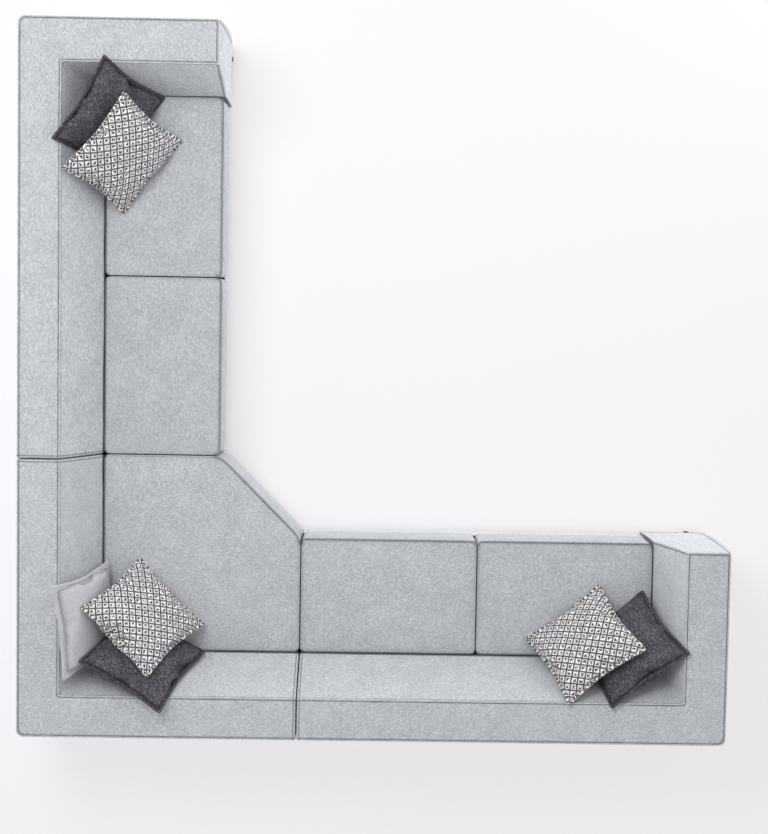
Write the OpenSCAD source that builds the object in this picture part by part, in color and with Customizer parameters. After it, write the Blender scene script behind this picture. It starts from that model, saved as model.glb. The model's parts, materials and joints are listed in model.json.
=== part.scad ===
// Corner sofa in three upholstered sections with loose seat cushions and scatter cushions.
// A corner section carries an end section on each side. The two end sections are mirror images.
// Lengths are in millimetres. The origin is on the floor, under the middle of the sofa's outline.
// The backs stand along +Y and -X, and the open corner of the plan faces +X and -Y.

/* [Layout] */
// Width of one seat of an end section
seat_w = 800; // [650:10:950]
// Outer length of the corner section along each of its backs
corner_w = 1220; // [1180:10:1400]
// Depth of a section, from the outer face of its back to the front of its seats
depth = 850; // [780:10:950]
// Height of the backs and arms above the floor
height = 700; // [660:5:780]
// Height of the top of the seats above the floor
seat_h = 420; // [390:5:460]
// Gap between two neighbouring sections
section_gap = 4; // [2:0.5:8]

/* [Backs and arms] */
// Thickness of a back across its flat top
back_top = 180; // [150:5:220]
// Thickness of a back at seat level, where its inner face stops sloping
back_low = 325; // [290:5:360]
// Thickness of an arm across its flat top
arm_top = 185; // [150:5:220]
// Thickness of an arm at seat level
arm_low = 290; // [260:5:330]
// Thickness of the fabric with its lining
cloth = 3; // [1:0.5:4]
// Thickness of the foam on the sloping face of a back
back_foam_t = 60; // [30:5:80]
// Thickness of the foam on the sloping face of an arm
arm_foam_t = 30; // [20:5:50]
// Thickness of the foam on the tops
top_foam_t = 25; // [15:5:40]
// Thickness of the foam on the front of an arm
front_foam_t = 12; // [6:1:25]
// Thickness of the hardboard on the outer faces
board_t = 4; // [3:0.5:8]
// Thickness of a plywood rib
rib_t = 18; // [12:1:25]
// Thickness of the cap board that lies on the ribs
cap_t = 22; // [15:1:30]
// Ribs in the back of an end section
end_ribs = 4; // [3:1:6]
// Ribs in an arm
arm_ribs = 3; // [2:1:5]
// Ribs in each back of the corner section
corner_ribs = 3; // [2:1:5]
// Side of the square post in the outer corner
post_w = 45; // [30:5:60]

/* [Base] */
// Height of a foot, which is also the height of the base above the floor
foot_h = 35; // [25:1:60]
// Height of the base rails
rail_h = 130; // [90:5:150]
// Thickness of the base rails
rail_t = 28; // [20:1:40]
// Width of the rail under the front of the backs
seat_rail_w = 40; // [30:2:60]
// How far the front of the base stands behind the front of the seats
front_set = 10; // [4:1:30]
// Thickness of the cloth under the base
dust_t = 2; // [1:0.5:4]
// Thickness of the elastic webbing
web_t = 2.5; // [1.5:0.5:4]
// Width of one strap of webbing
web_w = 60; // [40:5:80]
// Distance from strap to strap
web_pitch = 112; // [95:1:160]
// Thickness of the cloth that the seat cushions lie on
deck_t = 2.5; // [1.5:0.5:4]
// Thickness of the board under an arm
arm_floor_t = 22; // [20:1:30]

/* [Feet and connectors] */
// Diameter of a foot at its top
foot_d = 40; // [30:1:60]
// Diameter of a foot at the floor
foot_tip_d = 36; // [24:1:40]
// Distance of the feet of a base from the section's ends
foot_in = 60; // [45:5:90]
// How far the front feet stand behind the middle of their rail
front_foot_in = 8; // [0:1:9]
// Distance from an arm's outer face to the middle of its feet
arm_foot_in = 65; // [50:5:120]
// Distance from an arm's front or back face to the middle of its feet
arm_foot_set = 20; // [20:1:28]
// How far the rounded toe of an arm's front foot stands before the foot's middle
toe_reach = 14; // [8:1:18]
// Diameter of that toe at its top
toe_d = 28; // [20:1:30]
// Diameter of a wood screw's shank
screw_d = 6; // [4:0.5:8]
// Diameter of a wood screw's head
screw_head_d = 12; // [9:0.5:14]
// Height of a wood screw's head
screw_head_h = 4; // [2:0.5:5]
// How deep a wood screw goes into the wood
screw_bite = 20; // [10:1:20]
// Depth of the recess for the screw's head in the bottom of a foot
foot_recess = 12; // [6:1:18]
// Thickness of a connector plate
plate_t = 3; // [2:0.5:5]
// Width of a connector plate
plate_w = 40; // [34:2:60]
// How far a connector plate reaches past the middle of the joint
plate_reach = 40; // [34:2:50]
// Diameter of a connector pin
pin_d = 12; // [8:1:14]
// How far a connector pin reaches below its plate
pin_tip = 6; // [3:1:12]
// Play of a connector pin in its plate, on the radius
pin_play = 0.5; // [0.3:0.1:1]
// Distance of the front connectors from the seats' front
front_pin_in = 90; // [70:5:160]
// Distance of the rear connectors from the outer face of the back
back_pin_at = 90; // [70:5:160]
// Distance between the two screws of a connector plate
plate_screws = 22; // [16:1:24]

/* [Seat cushions] */
// Gap between neighbouring seat cushions, and between a cushion and what it lies against
seat_gap = 6; // [4:1:12]
// Radius of the corners of a seat cushion, seen from above
seat_round = 34; // [15:1:60]
// Height over which the sides of a seat cushion round into its top and bottom
seat_edge = 24; // [12:1:40]
// Rise of a seat cushion's top from its edges to its middle
seat_crown = 8; // [4:1:20]
// How far the sides of a seat cushion pull in between its corners
seat_pull = 4; // [0:0.5:10]
// Thickness of the padded cover around the foam core
seat_wrap = 25; // [18:1:40]

/* [Scatter cushions] */
// Side of a filled scatter cushion from corner to corner
pillow_w = 414; // [360:2:420]
// Thickness of a scatter cushion in the middle
pillow_t = 110; // [80:2:120]
// Thickness of a scatter cushion at its sewn edge
pillow_rim = 10; // [6:1:16]
// How far the sides of a scatter cushion pull in between its corners
pillow_pull = 12; // [6:1:20]

/* [Hidden] */

// Colours as the photograph shows them
pale_fabric = "#c3c6cc";
charcoal_fabric = "#4e4c54";
patterned_fabric = "#aaa7a8";
light_fabric = "#bebec3";
lining = "#4a4a4d";
foam_cream = "#e6dcb8";
pine = "#d8b98a";
plywood = "#c9a877";
hardboard = "#8f6f4e";
steel = "#a8abb0";
black_plastic = "#262629";

// Small distances that keep drawn solids apart or let cuts run through
rest_gap = 0.3;
screw_play = 0.2;
past = 1;

// Levels, from the floor up
rail_low = foot_h + dust_t;
rail_top = rail_low + rail_h;
web_top = rail_top + web_t;
deck_top = web_top + deck_t;
screw_top = rail_low + screw_bite;
plate_top = foot_h - rest_gap;

// Lengths of an end section, which runs along +x from its joint with the corner section
end_len = 2 * seat_w + arm_low;
arm_face = end_len - arm_low;
half = (corner_w + end_len) / 2;
joint = section_gap / 2;
frame_in = joint + cloth;
base_front = depth - front_set;

// Insets of the ribs and the foam from the outer faces
rib_out = cloth + board_t;
back_in = cloth + back_foam_t;
arm_in = cloth + arm_foam_t;
top_in = cloth + top_foam_t;
rib_top = height - top_in - cap_t;
rib_depth = back_low - back_in;
arm_rib_depth = arm_low - arm_in;
arm_wood_front = depth - cloth - front_foam_t;

// Cross-section of a back or arm as points of distance from its outer face and height.
// It is drawn in by out_in from the outer face, by high_in from the top and by slope_in from
// the inner face, which slopes from the flat top down to seat level and then stands upright.
function wall_outline(top_w, low_w, out_in, high_in, slope_in, low) =
    let (run = low_w - top_w, rise = height - seat_h, slant = sqrt(run * run + rise * rise))
    [
        [out_in, low],
        [out_in, height - high_in],
        [top_w + high_in * run / rise - slope_in * slant / rise, height - high_in],
        [low_w - slope_in, seat_h - slope_in * (slant - rise) / run],
        [low_w - slope_in, low]
    ];

function back_outline(out_in, high_in, slope_in, low) =
    wall_outline(back_top, back_low, out_in, high_in, slope_in, low);

function arm_outline(out_in, high_in, slope_in, low) =
    wall_outline(arm_top, arm_low, out_in, high_in, slope_in, low);

// A back's cross-section drawn along x, with its outer face at y = 0 and its depth along -y
module along_back(points, from, to) {
    rotate([90, 0, 90])
        translate([0, 0, from])
            linear_extrude(to - from)
                polygon([for (p = points) [-p[0], p[1]]]);
}

// An arm's cross-section drawn towards the front, with its outer face at x = end_len
module along_arm(points, from, to) {
    translate([end_len, 0, 0])
        rotate([0, 0, -90])
            along_back(points, from, to);
}

// The space of the arm, which the back of an end section stops at
module arm_space(low) {
    along_arm(arm_outline(0, 0, 0, low), -past, depth + past);
}

// A box given by its lowest and highest corners
module box(low, high) {
    translate(low)
        cube(high - low);
}

// Places of the three sections
module right_section() {
    translate([corner_w - half, half, 0])
        children();
}

module left_section() {
    mirror([1, 1, 0])
        right_section()
            children();
}

module corner_section() {
    translate([-half, half, 0])
        children();
}

// Both backs of the corner section: the one drawn, and its mirror image across the corner
module both_backs() {
    for (side = [0, 1])
        mirror([side, side, 0])
            children();
}

// What lies beyond the mitre between the two backs
module beyond_mitre() {
    translate([0, 0, -past])
        linear_extrude(height + 2 * past)
            polygon([[-past, past], [-past, -corner_w], [corner_w, -corner_w]]);
}

// Footprint of the corner section, whose front is cut off from one end section to the other
function corner_outline(wall_in, end_in, front_in) =
    let (a = wall_in, e = corner_w - end_in, cut = corner_w + depth - front_in * sqrt(2))
    [[a, -a], [a, -e], [cut - e, -e], [e, e - cut], [e, -a]];

module corner_slab(wall_in, end_in, front_in, low, high) {
    translate([0, 0, low])
        linear_extrude(high - low)
            polygon(corner_outline(wall_in, end_in, front_in));
}

// Places of the feet, as x and y
end_feet = [
    [foot_in, -(base_front - cloth - rail_t / 2 - front_foot_in)],
    [foot_in, -(rib_out + rail_t / 2)],
    [end_len - arm_foot_in, -(depth - arm_foot_set)],
    [end_len - arm_foot_in, -arm_foot_set]
];
arm_front_foot = end_feet[2];
front_feet_cut = corner_w + depth - (front_set + cloth + rail_t / 2 + front_foot_in) * sqrt(2);
corner_feet = [
    [foot_in, -(rib_out + rail_t / 2)],
    [corner_w - foot_in, -(rib_out + rail_t / 2)],
    [corner_w - foot_in, corner_w - foot_in - front_feet_cut],
    [front_feet_cut - corner_w + foot_in, foot_in - corner_w],
    [rib_out + rail_t / 2, foot_in - corner_w]
];
pins_at = [back_pin_at, depth - front_pin_in];
end_rail_mid = frame_in + rail_t / 2;

// One foot with its recess and screw hole, and with a toe towards the front if it has one
module foot(toe = false) {
    color(black_plastic)
        difference() {
            union() {
                cylinder(h = foot_h, d1 = foot_tip_d, d2 = foot_d, $fn = 48);
                if (toe)
                    translate([0, -toe_reach, 0])
                        cylinder(h = foot_h, d1 = toe_d + foot_tip_d - foot_d, d2 = toe_d, $fn = 48);
            }
            translate([0, 0, -past])
                cylinder(h = foot_recess + past, d = screw_head_d + 1, $fn = 32);
            screw_hole(foot_h);
        }
}

// A wood screw that stands head down, with the underside of its head's rim at the given level
module wood_screw(head_level) {
    color(steel) {
        translate([0, 0, head_level - screw_head_h])
            cylinder(h = screw_head_h, d = screw_head_d, $fn = 32);
        translate([0, 0, head_level])
            cylinder(h = screw_top - head_level, d = screw_d, $fn = 32);
    }
}

// The hole for a wood screw, up to a level
module screw_hole(top) {
    translate([0, 0, -past])
        cylinder(h = top + 2 * past, d = screw_d + 2 * screw_play, $fn = 32);
}

module at_points(points) {
    for (p = points)
        translate([p[0], p[1], 0])
            children();
}

// Places of the screws of the connector plates beside one joint of the corner section
plate_screw_points = [
    for (at = pins_at, side = [-1, 1])
        [corner_w - end_rail_mid, -at + side * plate_screws / 2]
];

module end_screw_holes() {
    at_points(end_feet)
        screw_hole(screw_top);
}

module pin_holes() {
    at_points([for (at = pins_at) [end_rail_mid, -at]])
        cylinder(h = rail_low + screw_bite * 2 + rest_gap, d = pin_d + 2 * screw_play, $fn = 48);
}

module corner_screw_holes() {
    at_points(corner_feet)
        screw_hole(screw_top);
    both_backs()
        at_points(plate_screw_points)
            screw_hole(screw_top);
}

// Wooden parts of an end section
module end_base_frame() {
    seat_rail_at = rib_depth - seat_rail_w / 2;
    color(pine)
        difference() {
            union() {
                box([frame_in, -rib_out - rail_t, rail_low], [arm_face, -rib_out, rail_top]);
                box([frame_in, cloth - base_front, rail_low],
                    [arm_face, cloth - base_front + rail_t, rail_top]);
            }
            end_screw_holes();
        }
    color(pine)
        difference() {
            box([frame_in, cloth - base_front + rail_t, rail_low],
                [frame_in + rail_t, -rib_out - rail_t, rail_top]);
            pin_holes();
        }
    color(pine)
        for (x = [seat_w - rail_t / 2, arm_face - rail_t])
            box([x, cloth - base_front + rail_t, rail_low], [x + rail_t, -rib_out - rail_t, rail_top]);
    color(pine)
        for (x = [frame_in + rail_t, seat_w + rail_t / 2])
            box([x, -seat_rail_at - seat_rail_w, rail_low],
                [x < seat_w ? seat_w - rail_t / 2 : arm_face - rail_t, -seat_rail_at, rail_top]);
}

module end_back_frame() {
    last_rib = arm_face - rib_t;
    step = (last_rib - frame_in) / (end_ribs - 1);
    color(plywood)
        for (i = [0 : end_ribs - 1])
            along_back(back_outline(rib_out, height - rib_top, back_in, rail_top),
                frame_in + i * step, frame_in + i * step + rib_t);
    color(pine)
        difference() {
            box([frame_in, -cap_depth(back_top, back_low, back_in), rib_top],
                [end_len, -rib_out, rib_top + cap_t]);
            arm_space(rail_low);
        }
}

// Distance from the outer face at which a cap board ends, under the foam of the sloping face
function cap_depth(top_w, low_w, slope_in) = wall_outline(top_w, low_w, 0, top_in, slope_in, 0)[2][0];

module end_arm_frame() {
    first = cloth;
    step = (arm_wood_front - rib_t - first) / (arm_ribs - 1);
    wood_out = end_len - rib_out;
    color(plywood) {
        difference() {
            box([end_len - arm_rib_depth, -arm_wood_front, rail_low],
                [wood_out, -first, rail_low + arm_floor_t]);
            end_screw_holes();
        }
        for (i = [0 : arm_ribs - 1])
            along_arm(arm_outline(rib_out, height - rib_top, arm_in, rail_low + arm_floor_t),
                first + i * step, first + i * step + rib_t);
    }
    color(pine)
        box([end_len - cap_depth(arm_top, arm_low, arm_in), -arm_wood_front, rib_top],
            [wood_out, -first, rib_top + cap_t]);
}

module end_boards() {
    board_top = height - top_in;
    color(hardboard) {
        difference() {
            box([frame_in, -rib_out, rail_low], [end_len, -cloth, board_top]);
            arm_space(rail_low - past);
        }
        box([end_len - rib_out, -arm_wood_front, rail_low], [end_len - cloth, -cloth, board_top]);
    }
}

// Webbing and the cloths of an end section's base
module end_webbing() {
    first = frame_in + rail_t + web_w / 2;
    count = floor((arm_face - first - web_w / 2) / web_pitch);
    color(lining)
        for (i = [0 : count])
            translate([first + i * web_pitch - web_w / 2, cloth - base_front, rail_top])
                cube([web_w, base_front - cloth - rib_depth, web_t]);
}

module end_deck_cloth() {
    color(lining)
        box([frame_in, cloth - base_front, web_top], [arm_face, -rib_depth, deck_top]);
}

module end_dust_cover() {
    color(lining)
        difference() {
            union() {
                box([frame_in, cloth - base_front, foot_h], [arm_face, -cloth, rail_low]);
                box([arm_face + cloth, cloth - depth, foot_h], [end_len - cloth, -cloth, rail_low]);
            }
            end_screw_holes();
            pin_holes();
        }
}

// Foam and covers of an end section
module end_back_foam() {
    color(foam_cream)
        difference() {
            along_back(back_outline(cloth, cloth, cloth, deck_top), frame_in, end_len);
            along_back(back_outline(-past, top_in, back_in, deck_top - past), frame_in - past, end_len);
            arm_space(deck_top - past);
        }
}

module end_arm_foam() {
    color(foam_cream)
        difference() {
            along_arm(arm_outline(cloth, cloth, cloth, rail_low), cloth, depth - cloth);
            along_arm(arm_outline(-past, top_in, arm_in, rail_low - past), -past, arm_wood_front);
        }
}

module end_back_cover() {
    color(pale_fabric)
        difference() {
            along_back(back_outline(0, 0, 0, deck_top), joint, end_len);
            along_back(back_outline(cloth, cloth, cloth, deck_top - past), frame_in, end_len + past);
            arm_space(deck_top - past);
        }
}

module end_arm_cover() {
    color(pale_fabric)
        difference() {
            along_arm(arm_outline(0, 0, 0, foot_h), 0, depth);
            along_arm(arm_outline(cloth, cloth, cloth, foot_h - past), cloth, depth - cloth);
        }
}

module end_base_cover() {
    color(pale_fabric)
        difference() {
            box([joint, -base_front, foot_h], [arm_face, 0, deck_top]);
            box([frame_in, cloth - base_front, foot_h - past], [arm_face + past, -cloth, deck_top + past]);
        }
}

// Feet, screws and connector pins of an end section
module end_feet_set() {
    at_points([for (p = end_feet) if (p != arm_front_foot) p])
        foot();
    at_points([arm_front_foot])
        foot(toe = true);
}

module end_foot_screws() {
    at_points(end_feet)
        wood_screw(foot_recess);
}

module end_connector_pins() {
    color(steel)
        at_points([for (at = pins_at) [end_rail_mid, -at]])
            translate([0, 0, plate_top - plate_t - pin_tip])
                cylinder(h = rail_low + 2 * screw_bite - plate_top + plate_t + pin_tip,
                    d = pin_d, $fn = 48);
}

// Wooden parts of the corner section
module corner_base_frame() {
    end_in = corner_w - frame_in;
    outer_cut = corner_w + depth - (front_set + cloth) * sqrt(2);
    inner_cut = outer_cut - rail_t * sqrt(2);
    seat_rail_at = rib_depth - seat_rail_w / 2;
    color(pine)
        difference() {
            linear_rail([[rib_out, -rib_out], [end_in, -rib_out], [end_in, -rib_out - rail_t],
                [rib_out, -rib_out - rail_t]]);
            corner_screw_holes();
        }
    color(pine)
        difference() {
            linear_rail([[rib_out, -rib_out - rail_t], [rib_out + rail_t, -rib_out - rail_t],
                [rib_out + rail_t, -end_in], [rib_out, -end_in]]);
            corner_screw_holes();
        }
    color(pine)
        difference() {
            linear_rail([[end_in, end_in - outer_cut], [end_in, end_in - inner_cut],
                [inner_cut - end_in, -end_in], [outer_cut - end_in, -end_in]]);
            corner_screw_holes();
        }
    color(pine)
        both_backs()
            difference() {
                linear_rail([[end_in - rail_t, -rib_out - rail_t], [end_in, -rib_out - rail_t],
                    [end_in, end_in - inner_cut], [end_in - rail_t, end_in - rail_t - inner_cut]]);
                at_points(plate_screw_points)
                    screw_hole(screw_top);
            }
    color(pine) {
        linear_rail([[rib_out + rail_t, -seat_rail_at], [end_in - rail_t, -seat_rail_at],
            [end_in - rail_t, -seat_rail_at - seat_rail_w],
            [rib_out + rail_t, -seat_rail_at - seat_rail_w]]);
        linear_rail([[seat_rail_at, -seat_rail_at - seat_rail_w],
            [seat_rail_at + seat_rail_w, -seat_rail_at - seat_rail_w],
            [seat_rail_at + seat_rail_w, rail_t - end_in], [seat_rail_at, rail_t - end_in]]);
    }
}

// A base rail with the given footprint
module linear_rail(points) {
    translate([0, 0, rail_low])
        linear_extrude(rail_h)
            polygon(points);
}

module corner_back_frame() {
    first = back_low + post_w;
    step = (corner_w - frame_in - rib_t - first) / (corner_ribs - 1);
    cap_in = cap_depth(back_top, back_low, back_in);
    color(plywood)
        both_backs()
            for (i = [0 : corner_ribs - 1])
                along_back(back_outline(rib_out, height - rib_top, back_in, rail_top),
                    first + i * step, first + i * step + rib_t);
    color(pine)
        both_backs()
            difference() {
                box([0, -cap_in, rib_top], [corner_w - frame_in, -rib_out, rib_top + cap_t]);
                beyond_mitre();
            }
    color(pine)
        box([rib_out, -rib_out - post_w, rail_top], [rib_out + post_w, -rib_out, rib_top]);
}

module corner_back_boards() {
    color(hardboard)
        both_backs()
            difference() {
                box([0, -rib_out, rail_low], [corner_w - frame_in, -cloth, height - top_in]);
                beyond_mitre();
            }
}

// Webbing and the cloths of the corner section's base
module corner_webbing() {
    inner = corner_w - frame_in - rail_t;
    first = rib_depth + web_w;
    count = floor((inner - first - web_w / 2) / web_pitch);
    color(lining)
        intersection() {
            union()
                for (i = [0 : count])
                    translate([first + i * web_pitch - web_w / 2, -corner_w, rail_top])
                        cube([web_w, corner_w - rib_depth, web_t]);
            corner_slab(0, frame_in, front_set + cloth, 0, height);
        }
}

module corner_deck_cloth() {
    color(lining)
        corner_slab(rib_depth, frame_in, front_set + cloth, web_top, deck_top);
}

module corner_dust_cover() {
    color(lining)
        difference() {
            corner_slab(cloth, frame_in, front_set + cloth, foot_h, rail_low);
            corner_screw_holes();
        }
}

// Foam and covers of the corner section
module corner_back_foam() {
    color(foam_cream)
        both_backs()
            difference() {
                along_back(back_outline(cloth, cloth, cloth, deck_top), 0, corner_w - frame_in);
                along_back(back_outline(-past, top_in, back_in, deck_top - past), -past, corner_w);
                beyond_mitre();
            }
}

// The two halves of this cover keep the small distance at their mitred seam
module corner_back_cover() {
    color(pale_fabric)
        both_backs()
            difference() {
                along_back(back_outline(0, 0, 0, deck_top), 0, corner_w - joint);
                along_back(back_outline(cloth, cloth, cloth, deck_top - past), -past, corner_w - frame_in);
                translate([1, 1, 0] * rest_gap / sqrt(8))
                    beyond_mitre();
            }
}

module corner_base_cover() {
    color(pale_fabric)
        difference() {
            corner_slab(0, joint, front_set, foot_h, deck_top);
            corner_slab(cloth, frame_in, front_set + cloth, foot_h - past, deck_top + past);
        }
}

// Feet, screws and connector plates of the corner section
module corner_feet_set() {
    at_points(corner_feet)
        foot();
}

module corner_screws() {
    at_points(corner_feet)
        wood_screw(foot_recess);
    both_backs()
        at_points(plate_screw_points)
            wood_screw(plate_top - plate_t);
}

module corner_connector_plates() {
    plate_from = corner_w - end_rail_mid - plate_w / 2;
    color(steel)
        both_backs()
            difference() {
                for (at = pins_at)
                    box([plate_from, -at - plate_w / 2, plate_top - plate_t],
                        [corner_w + plate_reach, -at + plate_w / 2, plate_top]);
                at_points(plate_screw_points)
                    screw_hole(foot_h);
                at_points([for (at = pins_at) [corner_w + end_rail_mid, -at]])
                    cylinder(h = foot_h + past, r = pin_d / 2 + pin_play, $fn = 48);
            }
}

// Points along the outline of a cushion seen from above: rounded corners and sides that pull in.
// The corners are given in order, anticlockwise.
arc_steps = 3;
side_steps = 5;

function unit(v) = v / norm(v);

function soft_side(from, to) =
    let (inward = unit([from[1] - to[1], to[0] - from[0]]))
    [
        for (i = [1 : side_steps])
            from + (to - from) * i / (side_steps + 1)
                + inward * seat_pull * sin(180 * i / (side_steps + 1))
    ];

function soft_corner(before, at, after) =
    let (from = at + unit(before - at) * seat_round, to = at + unit(after - at) * seat_round)
    [for (i = [0 : arc_steps]) let (t = i / arc_steps)
        from * (1 - t) * (1 - t) + at * 2 * t * (1 - t) + to * t * t];

function soft_outline(corners) =
    let (n = len(corners))
    [
        for (i = [0 : n - 1])
            let (
                at = corners[i],
                after = corners[(i + 1) % n],
                arc = soft_corner(corners[(i + n - 1) % n], at, after)
            )
            for (p = concat(arc, soft_side(arc[arc_steps], after + unit(at - after) * seat_round)))
                p
    ];

function centre_of(points) =
    let (n = len(points), ones = [for (p = points) 1])
    ones * points / n;

// Rings of a seat cushion from its bottom to its top: the share of the outline's size, and the
// height from the bottom (first list) or from the top of the edge (second list), as a share of
// the rounded edge's height, and above the edge as a share of the crown
bottom_rings = [[0.965, 0], [0.99, 0.25], [1, 0.917]];
top_rings = [[1, -1], [0.993, -0.292], [0.97, 0], [0.9, 0.35], [0.72, 0.7], [0.45, 0.92]];

// A crowned cushion that fills an outline from low to high
module seat_form(corners, low, high) {
    outline = soft_outline(corners);
    centre = centre_of(outline);
    edge = high - seat_crown;
    levels = concat(
        [for (r = bottom_rings) [r[0], low + r[1] * seat_edge]],
        [for (r = top_rings) [r[0], edge + r[1] * (r[1] < 0 ? seat_edge : seat_crown)]]);
    n = len(outline);
    rings = len(levels);
    points = concat(
        [for (v = levels) for (p = outline) let (q = centre + (p - centre) * v[0]) [q[0], q[1], v[1]]],
        [[centre[0], centre[1], low], [centre[0], centre[1], high]]);
    faces = concat(
        [for (k = [0 : rings - 2]) for (i = [0 : n - 1]) let (j = (i + 1) % n)
            for (f = [[k * n + i, (k + 1) * n + j, k * n + j], [k * n + i, (k + 1) * n + i, (k + 1) * n + j]])
                f],
        [for (i = [0 : n - 1]) [n * rings, i, (i + 1) % n]],
        [for (i = [0 : n - 1]) let (last = (rings - 1) * n)
            [n * rings + 1, last + (i + 1) % n, last + i]]);
    polyhedron(points, faces);
}

// A seat cushion's cover is the padded form without the space of its foam core
module seat_cover(corners, core_corners) {
    color(pale_fabric)
        difference() {
            seat_form(corners, deck_top + rest_gap, seat_h);
            seat_core_block(core_corners);
        }
}

module seat_core(core_corners) {
    color(foam_cream)
        seat_core_block(core_corners);
}

module seat_core_block(corners) {
    low = deck_top + rest_gap + seat_wrap;
    translate([0, 0, low])
        linear_extrude(seat_h - seat_crown - seat_wrap - low)
            polygon(corners);
}

// Corners of a cushion of an end section, drawn in from its space. Seat 0 is beside the joint.
function end_seat_corners(seat, in) =
    let (
        x0 = seat * seat_w + seat_gap / 2 + in,
        x1 = (seat + 1) * seat_w - seat_gap / 2 - in,
        y0 = in - depth,
        y1 = -back_low - seat_gap / 2 - in
    )
    [[x0, y0], [x1, y0], [x1, y1], [x0, y1]];

module end_seat_cover(seat) {
    seat_cover(end_seat_corners(seat, 0), end_seat_corners(seat, seat_wrap));
}

module end_seat_core(seat) {
    seat_core(end_seat_corners(seat, seat_wrap));
}

function corner_seat_corners(in) = corner_outline(back_low + seat_gap / 2 + in, seat_gap / 2 + in, in);

module corner_seat_cover() {
    seat_cover(corner_seat_corners(0), corner_seat_corners(seat_wrap));
}

module corner_seat_core() {
    seat_core(corner_seat_corners(seat_wrap));
}

// A scatter cushion about its own middle: a square whose sides pull in, thick in the middle and
// thin at the sewn edge. Rows of points lie closer together towards the edge.
pillow_steps = 12;
pillow_fullness = 0.6;

function pillow_row(i) = sin(180 * i / pillow_steps - 90);

function pillow_point(i, j, side) =
    let (
        x = pillow_row(i),
        y = pillow_row(j),
        loft = (pillow_t - pillow_rim) / 2 * pow((1 - x * x) * (1 - y * y), pillow_fullness)
    )
    [
        x * (pillow_w / 2 - pillow_pull * (1 - y * y)),
        y * (pillow_w / 2 - pillow_pull * (1 - x * x)),
        side * (loft + pillow_rim / 2)
    ];

module pillow() {
    m = pillow_steps;
    n = m + 1;
    points = [
        for (side = [-1, 1])
            for (i = [0 : m])
                for (j = [0 : m])
                    pillow_point(i, j, side)
    ];
    flat_faces = [
        for (i = [0 : m - 1])
            for (j = [0 : m - 1])
                let (a = i * n + j, b = a + 1, c = a + n, d = c + 1, up = n * n)
                for (f = [[a, c, b], [b, c, d], [a + up, b + up, c + up], [b + up, d + up, c + up]])
                    let (bottom = f[0] < up)
                    bottom ? [f[0], f[1], f[2]] : f
    ];
    border = concat(
        [for (i = [0 : m - 1]) i * n],
        [for (j = [0 : m - 1]) m * n + j],
        [for (i = [m : -1 : 1]) i * n + m],
        [for (j = [m : -1 : 1]) j]);
    count = len(border);
    rim_faces = [
        for (k = [0 : count - 1])
            let (a = border[k], b = border[(k + 1) % count], up = n * n)
            for (f = [[a, a + up, b], [b, a + up, b + up]])
                f
    ];
    polyhedron(points, concat(flat_faces, rim_faces));
}

// A scatter cushion that leans. On the level of the wall tops its middle plane passes through a
// point that is "away" cushion widths from the corner, is tilted from flat by "tilt" and faces
// the direction "facing". The cushion is turned in its own plane by "turn", and its lowest point
// is "lift" rim thicknesses above the seat's top.
module leaning(corner, away, tilt, facing, turn, lift) {
    at = corner + pillow_w * away;
    drop = pillow_w / 2 * (cos(turn) + abs(sin(turn))) * sin(tilt) + pillow_rim / 2 * cos(tilt);
    up = seat_h + lift * pillow_rim + drop;
    out = (height - up) / tan(tilt);
    translate([at[0] + out * cos(facing), at[1] + out * sin(facing), up])
        rotate([0, tilt, facing])
            rotate([0, 0, turn])
                pillow();
}

// The inner top corners between back and arm, and between the two backs
arm_corner = [end_len - arm_top, -back_top];
back_corner = [back_top, -back_top];

module right_charcoal_cushion() {
    color(charcoal_fabric)
        leaning(arm_corner, [-0.42512, -0.27536], 52.5, -121.5, 0, -0.42);
}

module right_patterned_cushion() {
    color(patterned_fabric)
        leaning(arm_corner, [-0.75072, -0.40024], 48, -128.5, 0, -0.06);
}

module left_charcoal_cushion() {
    color(charcoal_fabric)
        leaning(arm_corner, [-0.40628, -0.31063], 48, -126.5, 0, -0.3);
}

module left_patterned_cushion() {
    color(patterned_fabric)
        leaning(arm_corner, [-0.86087, -0.35242], 46.5, -128.5, 1.5, -0.19);
}

module corner_grey_cushion() {
    color(light_fabric)
        leaning(back_corner, [0.7744, -0.15556], 63, -87, 6.8, -1.05);
}

module corner_charcoal_cushion() {
    color(charcoal_fabric)
        leaning(back_corner, [0.21981, -0.78333], 51.6, -25, -8.5, -0.26);
}

module corner_patterned_cushion() {
    color(patterned_fabric)
        leaning(back_corner, [0.64324, -0.70966], 48.4, -40.2, -6.9, -0.14);
}

corner_section() corner_base_frame();
corner_section() corner_back_frame();
corner_section() corner_back_boards();
corner_section() corner_webbing();
corner_section() corner_deck_cloth();
corner_section() corner_back_foam();
corner_section() corner_back_cover();
corner_section() corner_base_cover();
corner_section() corner_dust_cover();
corner_section() corner_feet_set();  // corner_feet
corner_section() corner_screws();
corner_section() corner_connector_plates();
corner_section() corner_seat_cover();
corner_section() corner_seat_core();

right_section() end_base_frame();  // right_base_frame
right_section() end_back_frame();  // right_back_frame
right_section() end_arm_frame();  // right_arm_frame
right_section() end_boards();  // right_boards
right_section() end_webbing();  // right_webbing
right_section() end_deck_cloth();  // right_deck_cloth
right_section() end_back_foam();  // right_back_foam
right_section() end_arm_foam();  // right_arm_foam
right_section() end_back_cover();  // right_back_cover
right_section() end_arm_cover();  // right_arm_cover
right_section() end_base_cover();  // right_base_cover
right_section() end_dust_cover();  // right_dust_cover
right_section() end_feet_set();  // right_feet
right_section() end_foot_screws();  // right_foot_screws
right_section() end_connector_pins();  // right_connector_pins
right_section() end_seat_cover(0);  // right_inner_seat_cover
right_section() end_seat_core(0);  // right_inner_seat_core
right_section() end_seat_cover(1);  // right_arm_seat_cover
right_section() end_seat_core(1);  // right_arm_seat_core

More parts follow.
